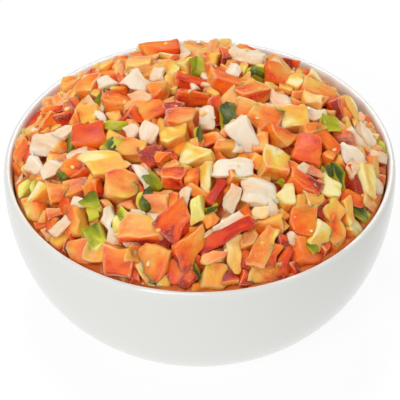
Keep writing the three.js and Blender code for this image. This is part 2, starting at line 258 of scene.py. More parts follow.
@dataclass(frozen=True)
class CutVegetable:
    """Wet cut flesh with a skin side: colours by tone for both, veins, cut cells with painted glints, a wet
    coat, and a painted sheen and paler rim.
    """

    name: str
    flesh: tuple[tuple[float, str], ...]
    skin: tuple[tuple[float, str], ...]
    sheen_and_rim: str                      # a paler colour painted as the sheen of wet faces and as light at clear rims; on the chilli, its paler wall at the cut
    painted_glint: str = "fcd8bc"          # a painted glint: the colour of a cut cell that catches the light
    vein: float = 5.0 * MM
    vein_depth: float = 0.5        # how far the veins go up and down the scale of colours
    fibre: tuple[float, float, float] = (1.0, 1.0, 1.0)   # under 1, the veins run along the piece
    cell: float = 0.7 * MM         # twice the size of a real cell, which is too fine to show
    cell_height: float = 0.4 * MM
    least_grain: float = 0.4       # how rough the least grainy flesh is
    least_glints: float = 0.4      # how many painted glints it has
    ripple: float = 3.2 * MM       # the width of the soft dents that the knife leaves
    ripple_height: float = 0.6 * MM
    ripple_strength: float = 0.8
    mottle: float = 0.10           # how far the dents go up and down the scale of colours
    flesh_roughness: float = 0.26
    skin_roughness: float = 0.14
    flesh_ior: float = 1.36
    scatter: float = 0.85
    scatter_depth: float = 1.8 * MM
    scatter_colour: tuple[float, float, float] = (1.0, 0.8, 0.6)
    wet: float = 1.0               # how much of the surface the film of juice covers
    wet_roughness: float = 0.05
    wet_ior: float = 1.42
    rim_light: float = 0.04        # the pale glow of a clear edge
    rim_roughness: float = 0.35
    rim_tint: tuple[float, float, float, float] = (1.0, 0.66, 0.42, 1.0)

    def material(self) -> bpy.types.Material:
        """Builds the material from the piece's own attributes.

        Returns:
            The material.
        """
        material, shader = new_material(self.name)
        links = material.node_tree.links
        look = add_node(material, "ShaderNodeAttribute", {"attribute_name": LOOK})
        parts = add_node(material, "ShaderNodeSeparateColor", links={"Color": look.outputs["Color"]})
        tone, skin, grain = (parts.outputs[n] for n in ("Red", "Green", "Blue"))
        place = add_node(material, "ShaderNodeAttribute", {"attribute_name": PLACE})
        along = add_node(
            material, "ShaderNodeMapping", {"Scale": self.fibre}, {"Vector": place.outputs["Vector"]})
        veins = add_node(
            material, "ShaderNodeTexNoise",
            {"Scale": 1 / self.vein, "Detail": 2.0, "Roughness": 0.45, "Distortion": 0.3},
            {"Vector": along.outputs["Vector"]})
        swing = add_node(
            material, "ShaderNodeMapRange",
            {"From Min": NOISE_LOW, "From Max": NOISE_HIGH,
             "To Min": -self.vein_depth / 2, "To Max": self.vein_depth / 2},
            {"Value": veins.outputs["Fac"]})
        waves = add_node(
            material, "ShaderNodeTexNoise", {"Scale": 1 / self.ripple, "Detail": 1.0},
            {"Vector": along.outputs["Vector"]})
        mottling = add_node(
            material, "ShaderNodeMapRange",
            {"From Min": NOISE_LOW, "From Max": NOISE_HIGH,
             "To Min": -self.mottle / 2, "To Max": self.mottle / 2},
            {"Value": waves.outputs["Fac"]})
        drift = add_node(
            material, "ShaderNodeMath", {"operation": "ADD"},
            {"0": swing.outputs["Result"], "1": mottling.outputs["Result"]})
        shade = add_node(
            material, "ShaderNodeMath", {"operation": "ADD", "use_clamp": True},
            {"0": drift.outputs["Value"], "1": tone})
        flesh = add_node(material, "ShaderNodeValToRGB", links={"Fac": shade.outputs["Value"]})
        set_ramp(flesh, self.flesh)
        rind = add_node(material, "ShaderNodeValToRGB", links={"Fac": shade.outputs["Value"]})
        set_ramp(rind, self.skin)
        cells = add_node(
            material, "ShaderNodeTexNoise", {"Scale": 1 / self.cell, "Detail": 2.0, "Roughness": 0.7},
            {"Vector": place.outputs["Vector"]})
        # painted glints: pale spots on the cut cells that stand out most
        glint_spots = add_node(
            material, "ShaderNodeMapRange",
            {"From Min": 0.52, "From Max": 0.7, "To Max": 0.5}, {"Value": cells.outputs["Fac"]})
        patch = add_node(
            material, "ShaderNodeMapRange", {"From Min": 0.38, "From Max": 0.56},
            {"Value": veins.outputs["Fac"]})
        grainy = add_node(
            material, "ShaderNodeMapRange", {"To Min": self.least_glints}, {"Value": grain})
        grains = add_node(
            material, "ShaderNodeMath", {"operation": "MULTIPLY"},
            {"0": patch.outputs["Result"], "1": grainy.outputs["Result"]})
        glints = add_node(
            material, "ShaderNodeMath", {"operation": "MULTIPLY", "use_clamp": True},
            {"0": glint_spots.outputs["Result"], "1": grains.outputs["Value"]})
        # painted sheen: patches of a paler colour, as strong as the look's fourth channel
        sheen_patches = add_node(
            material, "ShaderNodeMapRange", {"From Min": 0.35, "From Max": 0.6, "To Min": 0.2},
            {"Value": waves.outputs["Fac"]})
        sheen_share = add_node(
            material, "ShaderNodeMath", {"operation": "MULTIPLY"},
            {"0": look.outputs["Alpha"], "1": sheen_patches.outputs["Result"]})
        sheened = add_node(
            material, "ShaderNodeMix", {"data_type": "RGBA", SECOND: linear(self.sheen_and_rim)},
            {"Factor": sheen_share.outputs["Value"], FIRST: flesh.outputs["Color"]})
        glinted = add_node(
            material, "ShaderNodeMix", {"data_type": "RGBA", SECOND: linear(self.painted_glint)},
            {"Factor": glints.outputs["Value"], FIRST: sheened.outputs[MIXED]})
        colour = add_node(
            material, "ShaderNodeMix", {"data_type": "RGBA"},
            {"Factor": skin, FIRST: glinted.outputs[MIXED], SECOND: rind.outputs["Color"]})
        soft = add_node(
            material, "ShaderNodeBump", {"Distance": self.ripple_height, "Strength": self.ripple_strength},
            {"Height": waves.outputs["Fac"]})
        coarse = add_node(
            material, "ShaderNodeMapRange", {"To Min": self.least_grain, "To Max": 1.0},
            {"Value": grains.outputs["Value"]})
        rough = add_node(
            material, "ShaderNodeBump", {"Distance": self.cell_height},
            {"Height": cells.outputs["Fac"], "Strength": coarse.outputs["Result"],
             "Normal": soft.outputs["Normal"]})
        dull = add_node(
            material, "ShaderNodeMapRange",
            {"To Min": self.flesh_roughness, "To Max": self.skin_roughness}, {"Value": skin})
        facing = add_node(material, "ShaderNodeLayerWeight", {"Blend": 0.5})
        wetness = add_node(
            material, "ShaderNodeMapRange",
            {"From Min": 0.4, "From Max": 0.85, "To Min": self.wet, "To Max": 0.1 * self.wet},
            {"Value": facing.outputs["Facing"]})
        links.new(colour.outputs[MIXED], shader.inputs["Base Color"])
        links.new(rough.outputs["Normal"], shader.inputs["Normal"])
        links.new(rough.outputs["Normal"], shader.inputs["Coat Normal"])
        links.new(dull.outputs["Result"], shader.inputs["Roughness"])
        links.new(wetness.outputs["Result"], shader.inputs["Coat Weight"])
        constants = {
            "Subsurface Weight": self.scatter, "Subsurface Radius": self.scatter_colour,
            "Subsurface Scale": self.scatter_depth, "IOR": self.flesh_ior, "Specular IOR Level": 0.0,
            "Sheen Weight": self.rim_light, "Sheen Roughness": self.rim_roughness,
            "Sheen Tint": self.rim_tint, "Coat Roughness": self.wet_roughness, "Coat IOR": self.wet_ior}
        for socket, value in constants.items():   # the film of juice alone reflects, so the flesh doesn't
            shader.inputs[socket].default_value = value
        return material


# Raw tomato, cut with a knife: wet flesh from yellow over orange to deep red that glows a little from
# within and glitters with cut cells and painted glints, with painted sheen and paler painted rims where
# light comes through, and a smooth skin of a more even red.
TOMATO_FINISH = CutVegetable(
    name="fresh_tomato_flesh_and_skin",
    flesh=(
        (0.0, "ffe8a6"), (0.1, "ffd46a"), (0.2, "ffbe3c"), (0.3, "ffb650"), (0.4, "ffa84a"), (0.5, "ff9630"),
        (0.62, "fc801e"), (0.76, "f56819"), (0.9, "e24812"), (1.0, "aa270e")),
    skin=((0.0, "f69a2a"), (0.5, "f06c1a"), (0.8, "e64c18"), (1.0, "c82c12")),
    sheen_and_rim="ffc894",
    fibre=(0.5, 1.0, 1.0),
)
# Raw white onion, cut: pale, partly clear layers with fine lines along them, with painted glints and warm
# rims painted for the light of the tomato round them that comes through their clear edges.
ONION_FINISH = CutVegetable(
    name="raw_white_onion_layers",
    flesh=((0.0, "f5e8d2"), (0.3, "f0dabd"), (0.5, "f2d5b2"), (0.7, "f2c9a0"), (1.0, "f0b27c")),
    skin=((0.0, "fcf4e2"), (1.0, "f5cea0")),
    sheen_and_rim="fac088",
    vein=3.6 * MM,
    vein_depth=0.7,
    fibre=(0.3, 1.0, 1.0),
    ripple=2.2 * MM,
    ripple_height=0.24 * MM,
    mottle=0.35,
    scatter=0.8,
    scatter_depth=2.2 * MM,
    scatter_colour=(1.0, 0.85, 0.7),
)
# Fresh green chilli: a waxy green skin from dark to yellow green, and a paler wall inside it that also
# shows as a rim along the cut, with painted glints.
CHILLI_FINISH = CutVegetable(
    name="green_chilli_skin_and_wall",
    flesh=((0.0, "a8a020"), (0.5, "d2c43a"), (1.0, "f4e880")),
    skin=((0.0, "3a4606"), (0.3, "68720a"), (0.6, "969a10"), (0.85, "bcbc1c"), (1.0, "d8d038")),
    sheen_and_rim="e0d468",
    painted_glint="e8ecb8",
    rim_light=0.0,
    ripple=1.8 * MM,
    ripple_height=0.55 * MM,
    vein=4.0 * MM,
    vein_depth=0.7,
    fibre=(0.35, 1.0, 1.0),
    scatter=0.2,
    scatter_colour=(0.6, 1.0, 0.2),
)
# The pulp round the seeds of a tomato: clear yellow, smooth and wet, with painted glints and a paler rim
# painted where light comes through its edges.
PULP_FINISH = CutVegetable(
    name="tomato_seed_pulp",
    flesh=((0.0, "ffe0a4"), (0.3, "ffca6c"), (0.7, "f9a840"), (1.0, "ee7c30")),
    skin=((0.0, "f8d88c"), (1.0, "f0a03a")),
    sheen_and_rim="fce0b8",
    vein=3.0 * MM,
    flesh_roughness=0.18,
    scatter=0.25,
)
# Tomato juice with fine pulp in it: an even warm orange with painted glints, that shows only between the
# pieces.
JUICE_FINISH = CutVegetable(
    name="tomato_juice_and_fine_pulp",
    flesh=((0.0, "f0a050"), (0.5, "e07a32"), (1.0, "c45822")),
    skin=((0.0, "f0a050"), (1.0, "c45822")),
    sheen_and_rim="e8944c",
    painted_glint="f0a868",
    flesh_roughness=0.2,
)


# ---------------------------------------------------------------- the bowl


@dataclass(frozen=True)
class Bowl:
    """The round bowl, in millimetres like the solid that it stands for."""

    rim_radius: float = 80.0
    rim_height: float = 77.0
    body_depth: float = 75.2
    swell: float = 2.79
    lip_wall: float = 3.8
    floor_wall: float = 5.2
    thickening: float = 1.5   # over 1, the wall gains its thickness mostly near the floor
    lip_angle: float = 0.085
    lip_half_crown: float = 1.14
    foot_radius: float = 36.0
    foot_width: float = 4.5
    foot_round: float = 0.8
    foot_recess: float = 2.6
    foot_cove: float = 1.6
    outer_steps: int = 26
    inner_steps: int = 30
    lip_steps: int = 8
    turn_steps: int = 144
    radius_steps: int = 60

    def wall_point(self, angle: float, inset: float) -> tuple[float, float]:
        """A point of the wall's section.

        Args:
            angle: 0 at the rim, a right angle on the axis.
            inset: Distance in from the outer curve along its normal.

        Returns:
            Radius and height, in millimetres.
        """
        across, down = math.cos(angle), math.sin(angle)
        power = 2 / self.swell
        normal_across = across ** (2 - power) / self.rim_radius
        normal_down = down ** (2 - power) / self.body_depth
        size = math.hypot(normal_across, normal_down)
        radius = self.rim_radius * across ** power - inset * normal_across / size
        height = self.rim_height - self.body_depth * down ** power + inset * normal_down / size
        return max(radius, 0.0), height

    def thickness(self, angle: float) -> float:
        """The wall's thickness, which grows from the lip to the floor."""
        share = (angle / (math.pi / 2)) ** self.thickening
        return self.lip_wall + (self.floor_wall - self.lip_wall) * share

    def half_lip(self, end: tuple[float, float], middle: float) -> list[tuple[float, float]]:
        """Half of the round lip.

        Args:
            end: Where that side of the wall ends.
            middle: The radius of the top of the lip.

        Returns:
            Points from after the wall's end up to the top of the lip.
        """
        beside = middle + math.copysign(self.lip_half_crown, end[0] - middle)
        handles = (end, (end[0], self.rim_height), (beside, self.rim_height), (middle, self.rim_height))
        points = []
        for step in range(1, self.lip_steps + 1):
            t = step / self.lip_steps
            weights = ((1 - t) ** 3, 3 * t * (1 - t) ** 2, 3 * t * t * (1 - t), t ** 3)
            points.append(tuple(sum(w * h[axis] for w, h in zip(weights, handles)) for axis in (0, 1)))
        return points

    def section(self) -> tuple[list[tuple[float, float]], int]:
        """The section from the underside over the lip to the floor.

        Returns:
            The points as radius and height, and the index of the first point of the inside.
        """
        foot_inner = self.foot_radius - self.foot_width - 2 * self.foot_round
        foot_top = math.acos((self.foot_radius / self.rim_radius) ** (self.swell / 2))
        rise = [foot_top + (self.lip_angle - foot_top) * i / self.outer_steps
                for i in range(self.outer_steps + 1)]
        fall = [self.lip_angle + (math.pi / 2 - self.lip_angle) * i / self.inner_steps
                for i in range(self.inner_steps + 1)]
        outer = [self.wall_point(angle, 0.0) for angle in rise]
        inner = [self.wall_point(angle, self.thickness(angle)) for angle in fall]
        middle = (outer[-1][0] + inner[0][0]) / 2
        foot = [
            (0.0, self.foot_recess), (foot_inner - self.foot_cove, self.foot_recess),
            (foot_inner, self.foot_round), (foot_inner + self.foot_round, 0.0),
            (self.foot_radius - self.foot_round, 0.0), (self.foot_radius, self.foot_round)]
        up_lip = self.half_lip(outer[-1], middle)
        down_lip = self.half_lip(inner[0], middle)[::-1][1:]
        start = foot + outer + up_lip + down_lip
        return start + inner, len(start) - len(down_lip)

    def inner_radius(self, heights: np.ndarray) -> np.ndarray:
        """The bowl's inner radius at heights in metres, above the rim that of the rim.

        Args:
            heights: Heights above the table in metres.

        Returns:
            The inner radii in metres.
        """
        angles = np.linspace(self.lip_angle, math.pi / 2, self.radius_steps)
        points = np.array([self.wall_point(a, self.thickness(a)) for a in angles])[::-1] * MM
        return np.interp(heights, points[:, 1], points[:, 0])

    def build(self) -> bpy.types.Object:
        """Turns the section round the axis into one closed piece.

        Returns:
            The bowl.
        """
        points, inside_from = self.section()
        bm = bmesh.new()
        inside = bm.verts.layers.float.new(INSIDE)
        verts = [bm.verts.new((radius * MM, 0.0, height * MM)) for radius, height in points]
        for vert in verts[inside_from:]:
            vert[inside] = 1.0
        edges = [bm.edges.new(pair) for pair in zip(verts, verts[1:])]
        bmesh.ops.spin(
            bm, geom=verts + edges, cent=(0, 0, 0), axis=UP, angle=2 * math.pi,
            steps=self.turn_steps, use_merge=True)
        bmesh.ops.remove_doubles(bm, verts=bm.verts, dist=MERGED)
        bmesh.ops.recalc_face_normals(bm, faces=bm.faces)
        piece = piece_from(bm, "glazed_bowl")
        piece.data.materials.append(GlazedPorcelain().material())
        return piece


def piece_from(bm: bmesh.types.BMesh, name: str) -> bpy.types.Object:
    """Makes a smooth-shaded object of a mesh in the row frame and frees the mesh.

    Args:
        bm: The mesh.
        name: The object's name.

    Returns:
        The object.
    """
    mesh = bpy.data.meshes.new(name)
    for face in bm.faces:
        face.smooth = True
    bm.to_mesh(mesh)
    bm.free()
    piece = bpy.data.objects.new(name, mesh)
    bpy.context.scene.collection.objects.link(piece)
    return piece


# ---------------------------------------------------------------- the heap's form


@dataclass(frozen=True)
class HeapForm:
    """The general level of the pieces' tops: a mound with a steep shoulder, in metres."""

    bowl: Bowl
    crown_rise: float = 26 * MM
    edge_rise: float = 0.4 * MM
    back_drop: float = 4 * MM
    back_from: float = -0.3     # where it starts to drop to the back, as a share of the radius
    right_drop: float = 9 * MM
    right_gain: float = 2.4     # how quickly it drops to the back on the right
    right_from: float = 0.2
    shoulder: float = 3.4
    left_lift: float = -1 * MM
    nearest: float = 400 * MM   # where the search along a sight line starts, its step and its end
    sight_step: float = 0.25 * MM
    farthest: float = 700 * MM

    def level(self, x: float, y: float) -> float:
        """The level of the mound over a place in plan.

        Args:
            x: Place to the right.
            y: Place to the back.

        Returns:
            The height above the table.
        """
        wall = (self.bowl.rim_radius - self.bowl.lip_wall) * MM
        reach = min(math.hypot(x, y) / wall, 1.0)
        back = min(max(y / wall - self.back_from, 0.0), 1.0)
        corner = min(max(self.right_gain * x * y / wall ** 2 - self.right_from, 0.0), 1.0) * (x > 0)
        dip = self.back_drop * back + self.right_drop * corner
        fall = (self.crown_rise - self.edge_rise + dip) * reach ** self.shoulder
        lean = -self.left_lift * x / (self.bowl.rim_radius * MM)
        return self.bowl.rim_height * MM + self.crown_rise - fall + lean

    def outward(self, x: float, y: float) -> Vector:
        """The direction that points straight out of the mound.

        Args:
            x: Place to the right.
            y: Place to the back.

        Returns:
            A unit vector.
        """
        step = 1 * MM
        slope_x = (self.level(x + step, y) - self.level(x - step, y)) / (2 * step)
        slope_y = (self.level(x, y + step) - self.level(x, y - step)) / (2 * step)
        return Vector((-slope_x, -slope_y, 1.0)).normalized()

    def seen_at(self, view: PhotoView, px: float, py: float, depth: float) -> Vector:
        """Where the sight line of a pixel meets the mound, or a layer under it.

        Args:
            view: The photograph's view.
            px: Pixels from the left edge of the frame.
            py: Pixels from its top edge.
            depth: How far under the mound's level the layer is, in metres.

        Returns:
            The place in metres.
        """
        start, along = view.camera_place(), view.sight_line(px, py)
        reach = self.nearest
        while reach < self.farthest:
            spot = start + along * reach
            if spot.z <= self.level(spot.x, spot.y) - depth:
                return spot
            reach += self.sight_step
        raise ValueError(f"no heap is seen at pixel {px}, {py}")


# ---------------------------------------------------------------- the cut pieces


class Kind(Enum):
    """The kinds of cut piece. Each is one object."""

    TOMATO = "tomato_dice"
    PULP = "tomato_seed_pulp"
    ONION = "white_onion_layers"
    CHILLI = "green_chilli_walls"


class Form(Enum):
    """The outlines of a piece's broad side."""

    BLOCK = "block"
    WEDGE = "wedge"
    ROUND = "round"
    LENS = "lens"
    CRESCENT = "crescent"
    SEED = "seed"


@dataclass
class CutPiece:
    """One cut piece: its size, where it lies and how it looks."""

    kind: Kind
    size: Vector
    spot: Vector
    turn: Quaternion
    tone: float
    form: Form = Form.BLOCK
    skin: float = 0.0     # 1: its broad side has its skin on
    grain: float = 0.0
    pale: float = 0.0
    seen: bool = False    # the photograph shows it
    cuts: int = 2         # the cuts across its sides that give it its net of squares

    def reach(self) -> float:
        """Half the breadth that the piece takes up in the heap."""
        return (self.size.x + self.size.y) / 4


@dataclass(frozen=True)
class Cut:
    """How a kind is cut: ranges of its sizes in millimetres, its bend and the share of its pieces."""

    length: tuple[float, float]
    width: tuple[float, float]
    thick: tuple[float, float]
    share: float
    trim: float = 1.0          # the size of the pieces that are named against their rows
    thinness: float = 1.0      # and their thickness against that
    facing: float = 1.0        # how far the pieces that are named follow the face of their rows
    bend: float = 0.0
    corner_cuts: int = 2
    wander: float = 0.2        # how far a corner strays, as a share of the least size
    softness: float = 0.5
    lump: float = 1.4
    ripple: float = 0.35
    flatness: float = 0.5      # how much of the unevenness bends the broad side
    tilt: float = 0.12         # how unevenly the pieces that are named lie
    drift: float = 0.16        # how far the tone goes up and down across a piece
    side_tone: float = 0.16    # how much redder or paler a side may be
    # how strongly a paler rim is painted along the edges, for light that comes through a clear edge; on the
    # chilli it is its paler wall
    edge_rim: float = 0.35
    net: int = 5               # the cuts across the sides of a piece that is named
    hidden_share: float = 0.1  # its share of the pieces behind the crest, which the photograph doesn't show


CUTS = {
    Kind.TOMATO: Cut(
        (6.0, 11.0), (5.0, 8.5), (4.5, 8.0), 0.86, trim=1.04, facing=0.5, lump=1.3, softness=0.35,
        corner_cuts=3, tilt=0.24, drift=0.22, edge_rim=0.85, hidden_share=0.7),
    Kind.PULP: Cut(
        (5.0, 9.0), (4.5, 7.0), (3.5, 5.5), 0.05, softness=0.8, lump=1.8, ripple=0.6, hidden_share=0.06),
    Kind.ONION: Cut(
        (5.0, 9.0), (4.0, 7.0), (3.2, 4.6), 0.06, trim=0.85, thinness=0.55, bend=1.0, corner_cuts=4,
        wander=0.5, softness=0.2, lump=3.4, ripple=1.2, edge_rim=0.9, flatness=0.2, net=8,
        hidden_share=0.17),
    Kind.CHILLI: Cut(
        (5.5, 8.0), (3.5, 5.5), (2.8, 3.6), 0.01, trim=0.8, bend=1.2, wander=0.4, lump=1.9, ripple=0.8,
        drift=0.45, edge_rim=0.7, hidden_share=0.07),
}
FINISHES = {
    Kind.TOMATO: TOMATO_FINISH,
    Kind.PULP: PULP_FINISH,
    Kind.ONION: ONION_FINISH,
    Kind.CHILLI: CHILLI_FINISH,
}
TONES = {
    Kind.TOMATO: (0.28, 0.35, 0.38, 0.42, 0.44, 0.46, 0.5, 0.52, 0.54, 0.6),
    Kind.PULP: (0.1, 0.3, 0.5),
    Kind.ONION: (0.1, 0.3, 0.5, 0.7),
    Kind.CHILLI: (0.1, 0.4, 0.6, 0.85),
}


@dataclass(frozen=True)
class Seen:
    """A piece that stands out in the photograph: the pixel of its middle, its real size and its look."""

    px: float
    py: float
    length: float
    width: float
    thick: float
    turn: float = 0.0     # the way of its length in the picture, in degrees anticlockwise from the right
    tone: float = 0.4     # its place on its kind's scale of colours
    lift: float = 0.0     # millimetres above its neighbours
    form: Form = Form.BLOCK
    face: float = 0.5     # 0: its broad side lies on the slope, 1: it faces the camera
    grain: float = 0.0    # how much its surface glitters with cut cells, from their bumps and from painted glints
    pale: float = 0.0     # how much painted sheen it has
    skin: float = 0.0


